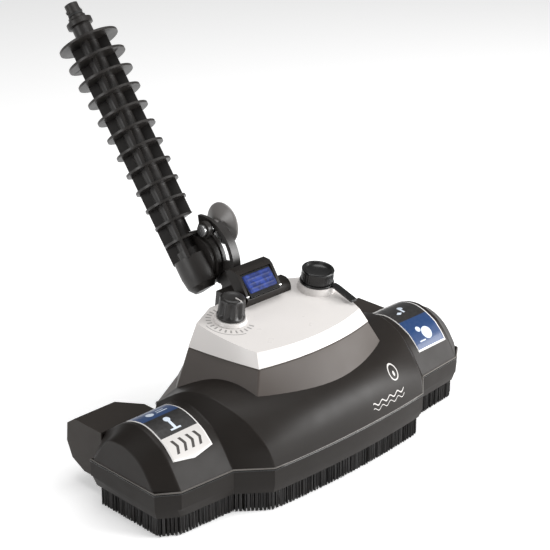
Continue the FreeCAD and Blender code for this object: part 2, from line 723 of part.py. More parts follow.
def around(radius, angle):
    """Point at a radius and angle about the wand's pivot, in the side plane."""
    turn = math.radians(float(angle))
    return V(0, float(d.pivotY) + float(radius) * math.cos(turn),
             float(pivotZ) + float(radius) * math.sin(turn))


def slab(outline, x0, x1):
    face = Part.Face(outline)
    face.translate(V(float(x0), 0, 0))
    return face.extrude(V(float(x1) - float(x0), 0, 0))


def sector(inner, outer, start, end):
    """A curved strip about the pivot from one angle to another."""
    half = (float(start) + float(end)) / 2
    return wire(around(inner, start), around(outer, start), (around(outer, half), around(outer, end)),
                around(inner, end), (around(inner, half), around(inner, start)))


def disc(radius, x0, x1):
    return Part.makeCylinder(float(radius), float(x1) - float(x0),
                             V(float(x0), float(d.pivotY), float(pivotZ)), V(1, 0, 0))


def towerBack(rise):
    """Depth of the tower's flat rear face at a rise."""
    share = (float(d.towerRise) - rise) / float(d.towerRise - d.towerFoot)
    return V(0, float(d.towerRear) + 14.2 * share, float(seam) + rise)


elbowEnd = 79.0


def bracketShape():
    left, right, arm = num(d.plateLeft, plateRight, armRight)
    z0 = float(seam)
    boltSpot = around((d.slotInner + d.slotOuter) / 2, d.boltAngle)
    fan = slab(sector(5, d.plateRadius, 80, 188), left, right)
    hub = disc(d.slotInner - 1.5, left, right)
    boss = disc(d.discRadius - 0.5, left - float(d.bossFace), left)
    rimEdge = slab(sector(d.plateRadius - 2.6, d.plateRadius, 112, 186), left, arm - 0.6)
    lower = wire(V(0, 70.5, z0 + 116), V(0, 53, z0 + 110), V(0, 51.6, z0 + 100), V(0, 61.5, z0 + 100),
                 towerBack(72), towerBack(30), V(0, 92, z0 + 30), V(0, 92, z0 + 62),
                 V(0, 88, z0 + 97), V(0, 96, z0 + 103), V(0, 86, z0 + 112), V(0, 70.5, z0 + 116))
    armSlab = slab(lower, left, arm)
    thickHub = disc(d.nutRadius + 2, left, arm)
    conduit = wire(V(0, 118, z0 + 110), V(0, 92, z0 + 98), V(0, 84, z0 + 106), V(0, 106, z0 + 126),
                   V(0, 118, z0 + 110))
    spine = wire(V(0, 61.9, z0 + 100), towerBack(72), towerBack(30), V(0, 83, z0 + 30),
                 V(0, 83, z0 + 62), V(0, 78, z0 + 100), V(0, 61.9, z0 + 100))
    wing = slab(spine, -22, 22)
    solid = fan.fuse([hub, boss, rimEdge, armSlab, wing, thickHub, slab(conduit, left, arm)])
    pivot, elbow, outlet = V(0, float(d.pivotY), float(pivotZ)), V(0, 84, z0 + 96), V(0, 84, float(inletZ))
    channel = [Part.makeCylinder(2.5, (b - a).Length, a, b - a)
               for a, b in ((pivot, elbow), (elbow, outlet), (outlet, V(0, 70, float(inletZ))))]
    screws = [Part.makeCylinder(float(d.screwRadius + d.faceGap), 40, V(x, 60, z), V(0, 1, 0))
              for x, z in neckScrewSpots]
    counterbore = Part.makeCylinder(float(d.hoseRadius), 14, V(0, elbowEnd - 14, float(inletZ)), V(0, 1, 0))
    slot = slab(sector(d.slotInner, d.slotOuter, d.slotStart, d.slotEnd), left - 1, right + 1)
    hole = disc(d.swivelRadius, left - 5, arm + 5)
    return solid.cut([slot, hole, counterbore] + channel + screws).removeSplitter()


keep("neck_bracket", solidOf(bracketShape()))

footLeft = d.wandX - 12.5
pinEnd = footLeft + 3.0
nutLeft = armRight + d.faceGap
nutRight = nutLeft + 6.0
pinAt = (0, d.pivotY, pivotZ, ALONG_X)
waterBore = 3.0
gland = 1.6
seals = [-26.0, -14.5]
pinProfile = [(waterBore, pinEnd), (d.swivelRadius, pinEnd)]
for x in seals:
    pinProfile += [(d.swivelRadius, x - 1.2), (d.swivelRadius - gland, x - 1.2),
                   (d.swivelRadius - gland, x + 1.2), (d.swivelRadius, x + 1.2)]
pinProfile += [(d.swivelRadius, nutRight), (0, nutRight), (0, 4), (waterBore, 4)]
ports = [turned([(0, 0), (waterBore, 0), (waterBore, 12), (0, 12)], x, d.pivotY, pivotZ, lean)
         for x, lean in ((d.wandX, (V(1, 0, 0), -d.lean)), (0, (V(1, 0, 0), 130.0)))]
keep("pivot_pin", cut(turned(pinProfile, *pinAt), *ports))
keep("pivot_nut", turned(pipe(d.swivelRadius, d.nutRadius, nutLeft, nutRight), *pinAt))
rings = [turned(pipe(d.swivelRadius - gland, d.swivelRadius - 0.05, x - 1.0, x + 1.0), *pinAt) for x in seals]
keep("pivot_seals", group(rings))

# ---------------------------------------------------------------- wand
leanBack = (V(1, 0, 0), -d.lean)
wandAt = (d.wandX, d.pivotY, pivotZ, leanBack)


def cylinderAlong(radius, low, high):
    """A rod on the wand's own axis, between two heights above the pivot."""
    return turned([(0, low), (radius, low), (radius, high), (0, high)], *wandAt)


footTop = d.swivelRadius + 4
finHalf = d.finThick / 2
coverDisc = d.discLeft - 4.0
discRight = d.discLeft + d.discThick
neckRadius = d.coreRadius + 3
footBody = turned([(0, -d.footLength), (12, -d.footLength), (16.8, 6 - d.footLength),
                   (d.footRadius, 18 - d.footLength), (d.footRadius, d.firstFin + finHalf),
                   (neckRadius, d.firstFin + finHalf), (neckRadius, footTop), (0, footTop)], *wandAt)
faceCut = box(coverDisc, 40, d.pivotY - 60, d.pivotY + 60, pivotZ - 60, pivotZ + 60)
joint = turned([(0, coverDisc), (d.discRadius - 3, coverDisc), (d.discRadius - 3, d.discLeft),
                (d.discRadius, d.discLeft), (d.discRadius, discRight), (0, discRight)], *pinAt)


def web(angle, low, high, half=d.webHalf, side=d.webThick / 2):
    """A flat plate through the wand's axis, turned by an angle about it."""
    corners = [(-half, -side), (half, -side), (half, side), (-half, side)]
    plate = pad(corners, low, high)
    spin = FreeCAD.Rotation(V(0, 0, 1), angle)
    lean = FreeCAD.Rotation(V(1, 0, 0), -float(d.lean))
    plate.Placement = FreeCAD.Placement(plate.Placement.Base, lean.multiply(spin))
    for name, size in zip("xyz", (d.wandX, d.pivotY - middle, pivotZ)):
        bind(plate, "Placement.Base." + name, size)
    return plate


boltCentre = around((d.slotInner + d.slotOuter) / 2, d.boltAngle)
boltAt = (0, boltCentre.y, boltCentre.z, ALONG_X)
lugRadius = 8.4
lug = turned([(0, d.discLeft), (lugRadius, d.discLeft), (lugRadius, discRight), (0, discRight)], *boltAt)
pinBore = turned([(0, pinEnd - 0.5), (d.swivelRadius + d.runClear, pinEnd - 0.5),
                  (d.swivelRadius + d.runClear, 20), (0, 20)], *pinAt)
tubeBore = cylinderAlong(d.tubeRadius, 0, 60)
boltBore = turned([(0, -20), (d.boltRadius, -20), (d.boltRadius, 20), (0, 20)], *boltAt)
footWebs = [web(angle, d.firstFin, footTop) for angle in (45, -45)]
keep("wand_foot", cut(fuse(cut(fuse(footBody, *footWebs), faceCut), joint, lug), pinBore, tubeBore, boltBore))

bodyTop = d.firstFin + d.finPitch * (d.finCount - 1) + 4
profile = [(d.tubeRadius, footTop), (d.coreRadius, footTop)]
count = int(float(d.finCount))
for i in range(1, count):
    height = d.firstFin + i * d.finPitch
    radius = d.lowFinRadius + (d.topFinRadius - d.lowFinRadius) * (i / (count - 1))
    profile += [(d.coreRadius, height - finHalf), (radius, height - finHalf),
                (radius, height + finHalf), (d.coreRadius, height + finHalf)]
profile += [(d.coreRadius, bodyTop), (d.tubeRadius, bodyTop)]
ribs = turned(profile, *wandAt)
webTop = bodyTop - 4
plateClear = turned([(0, d.discLeft - d.faceGap), (d.plateRadius + 3, d.discLeft - d.faceGap),
                     (d.plateRadius + 3, 60), (0, 60)], *pinAt)
discClear = turned([(0, coverDisc - d.faceGap), (d.discRadius + 0.3, coverDisc - d.faceGap),
                    (d.discRadius + 0.3, 60), (0, 60)], *pinAt)
keep("wand_body", cut(fuse(ribs, web(45, footTop, webTop), web(-45, footTop, webTop)),
                      plateClear, discClear, cylinderAlong(d.tubeRadius, -5, bodyTop + 5)))
tubeLow = d.swivelRadius + 1.0
keep("water_tube", turned(pipe(d.tubeRadius - d.tubeWall, d.tubeRadius, tubeLow, bodyTop), *wandAt))

stem0 = bodyTop + 16
tipTop = wandTip
tipLow = stem0 + 16.2
spigotBore = 4.0
collar = d.stemRadius + 0.4
sealGroove = d.stemRadius - 1.4
spigot = turned([
    (0, bodyTop), (10, bodyTop), (10, stem0 - 2), (d.flangeRadius, stem0 - 1),
    (d.flangeRadius, stem0 + 4), (9, stem0 + 6.5), (9, stem0 + 9), (collar, stem0 + 9.2),
    (collar, stem0 + 10), (sealGroove, stem0 + 10), (sealGroove, stem0 + 12.4),
    (collar, stem0 + 12.4), (collar, tipLow), (d.stemRadius, tipLow), (d.stemRadius, tipTop),
    (0, tipTop)], *wandAt)
bayonet = web(0, tipLow - 3.0, tipLow, collar + 1.4, 2.0)
through = cylinderAlong(spigotBore, bodyTop - 1, tipTop + 1)
keep("wand_spigot", cut(fuse(spigot, bayonet), through))
keep("spigot_seal", turned(pipe(sealGroove + 0.01, collar + 0.3, stem0 + 10.2, stem0 + 12.2), *wandAt))

# ---------------------------------------------------------------- clamp
boltLeft = d.discLeft - 3.2
washerLeft = plateRight + d.faceGap
washerRight = washerLeft + 1.2
knobLeft = washerRight + d.faceGap
hubRight = d.plateLeft + d.armThick + 0.9
boltEnd = hubRight + 5
keep("clamp_bolt", turned([
    (0, boltLeft), (6, boltLeft), (6, d.discLeft), (d.boltRadius, d.discLeft), (d.boltRadius, boltEnd),
    (0, boltEnd)], *boltAt))
keep("clamp_washer", turned(pipe(d.boltRadius + d.curveGap, 6.2, washerLeft, washerRight), *boltAt))
knobBore = d.boltRadius + d.runClear
keep("clamp_knob", turned([
    (knobBore, knobLeft), (6.2, knobLeft), (6.2, hubRight), (9, hubRight + 0.6),
    (d.dishRadius - 1, hubRight + 6.5), (d.dishRadius, hubRight + 8.2), (d.dishRadius - 1, hubRight + 9.4),
    (11, hubRight + 5.4), (11, hubRight + 11), (0, hubRight + 11), (0, boltEnd + d.curveGap),
    (knobBore, boltEnd + d.curveGap)], *boltAt))

# ---------------------------------------------------------------- water parts inside the head
barZ = seam - d.deckThick - d.barRadius - 2
jets = [-132, -88, -44, 0, 44, 88, 132]


def sprayBar(y):
    bar = turned([(d.barRadius - d.barWall, -d.barHalf), (d.barRadius, -d.barHalf), (d.barRadius, d.barHalf),
                  (d.barRadius - d.barWall, d.barHalf)], 0, y, barZ, ALONG_X)
    holes = [cylinder(d.nozzleRadius, 2 * d.barRadius, x, y, barZ - 2 * d.barRadius) for x in jets]
    return cut(bar, *holes, cylinder(stubRadius, 2 * d.barRadius, 0, y, barZ))


def endPlug(x, y):
    return cylinder(d.barRadius - d.barWall, 6, x, y, barZ, ALONG_X)


def nozzle(x, y):
    tip = d.nozzleHeight
    piece = turned([(1, 0), (2.4, 0), (d.nozzleRadius, 2.5), (d.nozzleRadius, tip), (1, tip)],
                   x, y, barZ - tip - 2)
    return piece


for barLabel, nozzleLabel, y in barRows:
    keep(barLabel, sprayBar(y))
    keep(nozzleLabel, group([nozzle(x, y) for x in jets]))

deckLow = seam - d.deckThick
clips = []
for x in (-110, 0, 110):
    for _, _, y in barRows:
        saddle = box(x + 14, x + 24, y - 10, y + 10, barZ, deckLow)
        clips.append(cut(saddle, cylinder(d.barRadius + d.faceGap, 40, x, y, barZ, ALONG_X)))
keep("bar_clips", group(clips))

keep("bar_plugs", group([endPlug(x, y) for x in (-150.0, 144.0) for _, _, y in barRows]))

stubLow, manifoldLow = barZ + 3, seam + d.faceGap
manifoldHigh = tankLow - 5.0
manifoldHalf = 11.0
stubWall = pipe(waterBore, stubRadius, stubLow, manifoldLow)
keep("bar_stubs", group([turned(stubWall, 0, y) for _, _, y in barRows]))
channelBore = turned([(0, 3), (waterBore, 3), (waterBore, 97), (0, 97)], 0, -36.0, seam + 9, REARWARD)
drops = [cylinder(waterBore, 9, 0, y, seam) for _, _, y in barRows]
inletY = 58.0
manifoldBlock = box(-manifoldHalf, manifoldHalf, -40, 66, manifoldLow, manifoldHigh)
inletDrop = cylinder(waterBore, 12, 0, inletY, manifoldHigh - 11)
keep("manifold", cut(manifoldBlock, channelBore, *drops, inletDrop))

elbowRadius = d.hoseRadius + 1.5
elbowUp = turned([(0, manifoldHigh), (elbowRadius, manifoldHigh), (elbowRadius, inletZ + elbowRadius),
                  (0, inletZ + elbowRadius)], 0, inletY)
elbowBack = cylinder(d.hoseRadius, elbowEnd - inletY, 0, inletY, inletZ, REARWARD)
elbowBores = [cylinder(waterBore, inletZ - manifoldHigh + 1, 0, inletY, manifoldHigh - 1),
              cylinder(waterBore, elbowEnd - inletY + 1, 0, inletY, inletZ, REARWARD)]
keep("inlet_elbow", cut(fuse(elbowUp, elbowBack), *elbowBores))

valveX, doseY = float(d.selectorX), 34.4
doseTop, doseLow, doseBend = 97.3, float(seam) + 8, 14.0
doseRadius = 3.0


def doseTube(radius):
    """A small hose from the metering valve down and across to the manifold."""
    start, turnStart = V(valveX, doseY, doseTop), V(valveX, doseY, doseLow + doseBend)
    turnEnd, end = V(valveX + doseBend, doseY, doseLow), V(-float(manifoldHalf), doseY, doseLow)
    corner = doseBend * (1 - math.sqrt(0.5))
    route = wire(start, turnStart, (V(valveX + corner, doseY, doseLow + corner), turnEnd), end)
    ringEdge = Part.Wire(Part.makeCircle(radius, start, V(0, 0, 1)))
    return route.makePipeShell([ringEdge], True, True)


keep("dosing_tube", solidOf(doseTube(doseRadius).cut(doseTube(smallBore))))
suctionX = d.selectorX + d.valveRadius + d.faceGap
suctionLength = -24 - d.faceGap - suctionX
suctionWall = pipe(smallBore, doseRadius, 0, suctionLength)
keep("suction_tube", turned(suctionWall, suctionX, suctionY, suctionZ, ALONG_X))

# ---------------------------------------------------------------- fasteners
headThick = 2.4


def screw(reach, x, y, z, turn=None):
    return turned([(0, -reach), (d.screwRadius, -reach), (d.screwRadius, 0), (d.screwHead, 0),
                   (d.screwHead, headThick), (0, headThick)], x, y, z, turn)


upsideDown = (V(1, 0, 0), 180.0)
keep("cover_screws", group([screw(11.0, x, y, deckLow, upsideDown) for x, y in screwSpots]))
wingRear = 83.0
keep("neck_screws", group([screw(18.0, x, wingRear, z, REARWARD) for x, z in neckScrewSpots]))
keep("filler_seal", topTurned(fillerSpot, pipe(plugRadius - 1.2, plugRadius, sealLow, sealLow + 1.8)))

# ---------------------------------------------------------------- check and write
doc.recompute()
for thing in doc.Objects:
    if "Invalid" in thing.State or "Error" in thing.State:
        raise RuntimeError("%s (%s) failed: %s" % (thing.Name, thing.Label, thing.State))
for thing in nodes:
    if thing.Shape.isNull() or not thing.Shape.isValid():
        raise RuntimeError("bad shape: " + thing.Label)
os.makedirs("parts", exist_ok=True)
for thing in nodes:
    thing.Shape.exportStep("parts/%s.step" % thing.Label)
    solids = len(thing.Shape.Solids)
    print("%-22s %8.0f mm3  solids: %d" % (thing.Label, thing.Shape.Volume, solids))
whole = FreeCAD.BoundBox()
for thing in nodes:
    whole.add(thing.Shape.BoundBox)
print("whole size %.1f x %.1f x %.1f" % (whole.XLength, whole.YLength, whole.ZLength))
print("pieces", len(nodes), "middle", float(middle))
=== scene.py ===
import bpy
import bmesh
import json
import math
import random
from mathutils import Matrix, Vector

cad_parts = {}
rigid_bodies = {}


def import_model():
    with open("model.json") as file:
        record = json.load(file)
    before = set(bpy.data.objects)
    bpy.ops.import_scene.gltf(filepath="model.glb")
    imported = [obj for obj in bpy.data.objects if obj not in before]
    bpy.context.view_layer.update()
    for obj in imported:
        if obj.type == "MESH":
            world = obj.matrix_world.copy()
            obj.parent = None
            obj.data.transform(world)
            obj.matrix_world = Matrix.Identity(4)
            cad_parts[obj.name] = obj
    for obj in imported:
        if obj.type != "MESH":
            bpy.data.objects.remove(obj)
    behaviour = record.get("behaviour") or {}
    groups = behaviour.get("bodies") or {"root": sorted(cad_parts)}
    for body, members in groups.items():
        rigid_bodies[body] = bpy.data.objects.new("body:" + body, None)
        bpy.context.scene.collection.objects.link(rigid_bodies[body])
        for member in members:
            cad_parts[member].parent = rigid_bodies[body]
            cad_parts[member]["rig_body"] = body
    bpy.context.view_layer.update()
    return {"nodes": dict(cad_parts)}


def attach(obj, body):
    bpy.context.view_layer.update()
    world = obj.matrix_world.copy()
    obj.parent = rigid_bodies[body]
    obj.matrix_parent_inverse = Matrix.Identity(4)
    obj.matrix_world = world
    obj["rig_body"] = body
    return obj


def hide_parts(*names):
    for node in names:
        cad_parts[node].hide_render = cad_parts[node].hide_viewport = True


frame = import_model()
nodes = frame["nodes"]
scene = bpy.context.scene
middleY = 0.10278  # the head's ridge line stands this far in front of the frame's middle
seamZ = 0.046
print("stage: frame loaded,", len(nodes), "nodes")


# shader sockets that can be written as sums
class Sock:
    def __init__(self, finish, socket):
        self.finish = finish
        self.socket = socket

    def maths(self, operation, other=None, swap=False):
        parts = [self] if other is None else [self, other]
        if swap:
            parts.reverse()
        return self.finish.add("ShaderNodeMath", {"operation": operation}, dict(enumerate(parts)))

    def __add__(self, other):
        return self.maths("ADD", other)

    def __sub__(self, other):
        return self.maths("SUBTRACT", other)

    def __rsub__(self, other):
        return self.maths("SUBTRACT", other, True)

    def __mul__(self, other):
        return self.maths("MULTIPLY", other)

    def __truediv__(self, other):
        return self.maths("DIVIDE", other)

    def __rtruediv__(self, other):
        return self.maths("DIVIDE", other, True)

    def __gt__(self, other):
        return self.maths("GREATER_THAN", other)

    def __lt__(self, other):
        return self.maths("LESS_THAN", other)

    def __abs__(self):
        return self.maths("ABSOLUTE")

    __radd__ = __add__
    __rmul__ = __mul__

    def least(self, other):
        return self.maths("MINIMUM", other)

    def most(self, other):
        return self.maths("MAXIMUM", other)

    def root(self):
        return self.maths("SQRT")

    def between(self, low, high):
        return (self > low) * (self < high)

    def ease(self, low, high):  # smooth 0 to 1 from low to high
        return self.finish.add("ShaderNodeMapRange", {"interpolation_type": "SMOOTHSTEP"},
                               {"Value": self, "From Min": low, "From Max": high})


class Finish:
    def __init__(self, name, **settings):
        self.material = bpy.data.materials.new(name)
        self.material.use_nodes = True
        self.tree = self.material.node_tree
        self.shader = self.tree.nodes["Principled BSDF"]
        for socketName, value in settings.items():
            self.put(socketName.replace("_", " "), value)

    def add(self, kind, settings, sockets, output=0):
        node = self.tree.nodes.new(kind)
        for key, value in settings.items():
            setattr(node, key, value)
        for key, value in sockets.items():
            self.feed(node.inputs[key], value)
        return Sock(self, node.outputs[output])

    def feed(self, socket, value):
        if isinstance(value, Sock):
            self.tree.links.new(value.socket, socket)
        else:
            socket.default_value = value

    def put(self, socketName, value):
        self.feed(self.shader.inputs[socketName], value)

    def place(self):
        return self.add("ShaderNodeTexCoord", {}, {}, "Object")

    def axes(self):
        split = self.add("ShaderNodeSeparateXYZ", {}, {0: self.place()})
        return [Sock(self, output) for output in split.socket.node.outputs]

    def noise(self, scale, detail=2.0, vector=None):
        sockets = {"Vector": vector or self.place(), "Scale": scale, "Detail": detail}
        return self.add("ShaderNodeTexNoise", {}, sockets, "Fac")

    def blend(self, mask, first, second):
        first = first if isinstance(first, Sock) else (*first, 1)
        second = second if isinstance(second, Sock) else (*second, 1)
        return self.add("ShaderNodeMix", {"data_type": "RGBA"}, {0: mask, 6: first, 7: second}, 2)

    def bump(self, height, strength, distance):
        sockets = {"Strength": strength, "Distance": distance, "Height": height}
        self.put("Normal", self.add("ShaderNodeBump", {}, sockets, "Normal"))

    def printOver(self, mask, ink):  # lays an ink over the base colour where the mask is on
        under = Sock(self, self.shader.inputs["Base Color"].links[0].from_socket)
        self.put("Base Color", self.blend(mask, under, ink))


def linear(*rgb):  # a colour given as 0 to 255 screen values
    return tuple(c / 12.92 / 255 if c <= 10 else ((c / 255 + 0.055) / 1.055) ** 2.4 for c in rgb)


plastic = {"driftScale": 7.0, "glossScale": 60.0, "glossSpread": 0.14, "grainStrength": 0.35}
metal = {"alongScale": 30.0, "acrossScale": 900.0, "shade": 0.8, "glossSpread": 0.2, "streakDepth": 0.00003}


# moulded plastics: a slow drift of tone, a fine grain and slightly uneven gloss
def mouldedPlastic(name, colour, gloss, grain=1100.0, depth=0.00006, drift=0.12, sheen=0.5):
    finish = Finish(name, Specular_IOR_Level=sheen)
    slow = finish.noise(plastic["driftScale"], 3.0)
    cloud = finish.noise(plastic["glossScale"])
    darker = tuple(c * (1 - drift) for c in colour)
    lighter = tuple(min(1.0, c * (1 + drift)) for c in colour)
    finish.put("Base Color", finish.blend(slow.ease(0.3, 0.7), darker, lighter))
    finish.put("Roughness", gloss + (cloud - 0.5) * plastic["glossSpread"])
    finish.bump(finish.noise(grain), plastic["grainStrength"], depth)
    return finish


def brushedMetal(name, colour, gloss):
    finish = Finish(name, Metallic=1.0)
    x, y, z = finish.axes()
    across = metal["acrossScale"]
    sockets = {0: x * metal["alongScale"], 1: y * across, 2: z * across}
    stretched = finish.add("ShaderNodeCombineXYZ", {}, sockets)
    streaks = finish.noise(1.0, 3.0, stretched)
    finish.put("Base Color", finish.blend(streaks, tuple(c * metal["shade"] for c in colour), colour))
    finish.put("Roughness", gloss + (streaks - 0.5) * metal["glossSpread"])
    finish.bump(streaks, 0.15, metal["streakDepth"])
    return finish


# the tower tone is the housing plastic lightened: painted sheen where the front light falls on the tower's
# facets
tones = {
    "housing": linear(29, 25, 22), "tower": linear(78, 72, 68), "wand": linear(34, 31, 29),
    # the seam bead's tone is a painted highlight on the lip where the cover meets the base
    "base": linear(28, 24, 21), "hood": linear(46, 41, 37), "seamHighlight": linear(92, 88, 84),
    "cap": linear(218, 214, 211), "bristle": linear(22, 19, 18), "black": linear(18, 18, 18),
    "blue": linear(26, 44, 104), "labelBlue": linear(8, 52, 100), "paper": linear(200, 197, 194),
    "labelDark": linear(22, 20, 19), "dish": linear(120, 117, 115), "steel": linear(190, 190, 190),
    "brass": linear(190, 150, 80), "natural": linear(214, 212, 200),
}


mark = {"x": 0.067, "z": 0.080, "radius": 0.0062, "line": 0.0006, "drop": 0.34, "dropSink": 0.001,
        "squeeze": 2.2, "waveX": 0.050, "waveZ": 0.063, "long": 0.048, "waves": 520.0, "swing": 0.0016,
        "apart": 0.005,
        "thinLine": 0.0004, "behind": -0.15}


def housingFinish():
    # the cover: grained plastic with a plain printed mark of a ring and two waves on the front
    finish = mouldedPlastic("housingPlastic", tones["housing"], 0.46, sheen=0.22)
    x, y, z = finish.axes()
    dx, dz = x - mark["x"], z - mark["z"]
    away = (dx * dx + dz * dz).root()
    ring = abs(away - mark["radius"]) < mark["line"]
    sunk = dz + mark["dropSink"]
    drop = (dx * dx * mark["squeeze"] + sunk * sunk).root() < mark["radius"] * mark["drop"]
    wave = (x * mark["waves"]).maths("SINE") * mark["swing"]
    upper = abs(z - mark["waveZ"] - wave) < mark["line"]
    lower = abs(z - mark["waveZ"] + mark["apart"] - wave) < mark["thinLine"]
    strokes = upper.most(lower) * (abs(x - mark["waveX"]) < mark["long"] * 0.5)
    finish.printOver(ring.most(drop).most(strokes) * (y < mark["behind"]), tones["paper"])
    return finish


dial = {"x": -0.050, "y": 0.0285, "near": 0.0185, "far": 0.0235, "ticks": 26.0, "tickWidth": 0.17,
        "edgeX": 0.012, "arrowNear": 0.0257, "arrowFar": 0.0267, "above": 0.12, "strength": 0.75}


def capFinish():
    # the white cap: satin plastic with grey dial ticks round the dosing knob
    finish = mouldedPlastic("capPlastic", tones["cap"], 0.3, 1500.0, 0.00003, 0.02)
    x, y, z = finish.axes()
    dx, dy = x - dial["x"], y - (dial["y"] - middleY)
    away = (dx * dx + dy * dy).root()
    angle = dy.maths("ARCTAN2", dx)
    tick = abs((angle * (dial["ticks"] / (2 * math.pi))).maths("FRACT") - 0.5) < dial["tickWidth"]
    long = away.between(dial["near"], dial["far"]) * tick * (dx < dial["edgeX"])
    arrow = away.between(dial["arrowNear"], dial["arrowFar"]) * (dx < -0.004) * (dy < 0.006)
    printed = long.most(arrow) * (z > dial["above"])
    finish.printOver(printed * dial["strength"], linear(120, 118, 116))
    return finish


# the labels run between two angles, in degrees about the ridge line
label = {"inner": 0.141, "wide": 0.045, "first": 21.8, "sweep": 97.9, "lift": 0.0004, "sink": 0.0006,
         "across": 20, "along": 40, "tip": 0.03, "point": 0.10, "plainTip": 0.01, "end": 0.985}


def labelFinish(name, side):
    # printed film: u runs from the front edge over the pod to the rear, v across
    finish = Finish(name, Roughness=0.34, Coat_Weight=0.15, Specular_IOR_Level=0.35)
    x, y, z = finish.axes()
    rise, back = z - seamZ, y + middleY
    angle = rise.maths("ARCTAN2", back * -1.0) * (180 / math.pi)
    u = (angle - label["first"]) / label["sweep"]
    v = (abs(x) - label["inner"]) / label["wide"]
    fine = finish.noise(300.0)

    def disc(u0, v0, r):
        du, dv = (u - u0) * 1.75, v - v0
        return (du * du + dv * dv).root() < r

    def bar(u0, v0, halfU, halfV):
        return (abs(u - u0) < halfU) * (abs(v - v0) < halfV)

    if side < 0:
        tip = abs(v - 0.5) * label["point"] + label["tip"]
        paper = u.between(0.0, 0.37)
        outside = u < tip
        chevrons = 0.0
        for step in range(4):
            at = 0.17 + 0.19 * step
            line = abs(v - at - abs(u - 0.22) * 0.75) < 0.035
            chevrons = line * (abs(u - 0.22) < 0.085) + chevrons
        icon = disc(0.60, 0.5, 0.075).most(bar(0.50, 0.5, 0.06, 0.035)).most(bar(0.43, 0.5, 0.012, 0.13))
        blue = u > 0.70
        pale = disc(0.82, 0.62, 0.09).most(bar(0.80, 0.33, 0.01, 0.14)).most(bar(0.85, 0.33, 0.008, 0.1))
    else:
        paper = u > 0.93
        outside = u < label["plainTip"]
        chevrons = 0.0 * u
        diamond = abs(u - 0.62) * 3.0 + abs(v - 0.34) < 0.09
        icon = disc(0.72, 0.55, 0.07).most(bar(0.66, 0.5, 0.05, 0.03)).most(diamond)
        blue = u < 0.47
        pale = disc(0.20, 0.55, 0.15).most(disc(0.28, 0.36, 0.07)).most(bar(0.12, 0.3, 0.008, 0.1))
    rim = (v < 0.025).most(v > 0.975).most((u < 0.035) if side > 0 else (u < tip + 0.022)).least(1.0)
    colour = finish.blend(blue, tones["labelDark"], tones["labelBlue"])
    colour = finish.blend((icon * (1.0 - blue)).most(pale * blue), colour, linear(206, 216, 228))
    colour = finish.blend(paper, colour, tones["paper"])
    colour = finish.blend((chevrons * paper).least(1.0), colour, linear(58, 54, 52))
    colour = finish.blend(rim, colour, linear(228, 226, 224))
    colour = finish.blend(outside, colour, tones["housing"])
    finish.put("Base Color", finish.blend(fine * 0.06, colour, (0.5, 0.5, 0.5)))
    finish.bump(fine, 0.08, 0.00003)
    return finish


def bristleFinish():
    finish = Finish("bristleFilament")
    x, y, z = finish.axes()
    # noise drawn out along the filaments
    upright = finish.add("ShaderNodeCombineXYZ", {}, {0: x, 1: y, 2: z * 0.12})
    tuft = finish.noise(260.0, 2.0, upright)
    dark, light = (tuple(c * share for c in tones["bristle"]) for share in (0.5, 1.5))
    finish.put("Base Color", finish.blend(tuft.ease(0.35, 0.65), dark, light))
    finish.put("Roughness", 0.5 + (tuft - 0.5) * 0.3)
    return finish


def padFinish():
    # soft blue overmould with a fine pebble; worn patches stand in for the slow drift of tone
    finish = mouldedPlastic("pedalOvermould", tones["blue"], 0.52, 700.0, 0.00018, 0.1, 0.25)
    patches = finish.noise(210.0, 3.0)
    dark, light = (tuple(c * share for c in tones["blue"]) for share in (0.7, 1.7))
    finish.put("Base Color", finish.blend(patches.ease(0.35, 0.7), dark, light))
    return finish


finishes = {
    "housing": housingFinish(),
    # the tower wears the housing plastic lightened, a painted sheen on its facets
    "tower": mouldedPlastic("towerSheenPaintedPlastic", tones["tower"], 0.46, sheen=0.3),
    "base": mouldedPlastic("basePlastic", tones["base"], 0.48, sheen=0.2),
    # a pale tone for the seam bead: painted highlight along the seam's lip
    "seamHighlight": mouldedPlastic("seamHighlightPlastic", tones["seamHighlight"], 0.35),
    "wand": mouldedPlastic("wandPlastic", tones["wand"], 0.4, 900.0),
    "hood": mouldedPlastic("hoodPlastic", tones["hood"], 0.5, 800.0, sheen=0.25),
    "cap": capFinish(),
    "black": mouldedPlastic("glossBlackPlastic", tones["black"], 0.24, 1600.0, 0.00002),
    "knob": mouldedPlastic("knobPlastic", linear(34, 32, 31), 0.38, 900.0, 0.00008),
    "dish": mouldedPlastic("dishKnobPlastic", tones["dish"], 0.3, 1400.0, 0.00003, 0.04),
    "bristle": bristleFinish(),
    "pad": padFinish(),
    "natural": mouldedPlastic("tankPlastic", tones["natural"], 0.35, 900.0, 0.00003, 0.03),
    "steel": brushedMetal("turnedSteel", tones["steel"], 0.3),
    "brass": brushedMetal("turnedBrass", tones["brass"], 0.3),
    "rubber": mouldedPlastic("sealRubber", linear(28, 28, 28), 0.6, 500.0, 0.0001),
    "labelLeft": labelFinish("labelFilmLeft", -1),
    "labelRight": labelFinish("labelFilmRight", 1),
}
print("stage: finishes made,", len(finishes))


def wear(piece, finishName):
    piece.data.materials.clear()
    piece.data.materials.append(finishes[finishName].material)


def newPiece(name, body, finishName, fill, smooth=True):
    mesh = bpy.data.meshes.new(name)
    work = bmesh.new()
    fill(work)
    bmesh.ops.recalc_face_normals(work, faces=work.faces)
    work.to_mesh(mesh)
    work.free()
    piece = bpy.data.objects.new(name, mesh)
    scene.collection.objects.link(piece)
    wear(piece, finishName)
    if smooth:
        mesh.shade_smooth()
    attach(piece, body)
    return piece


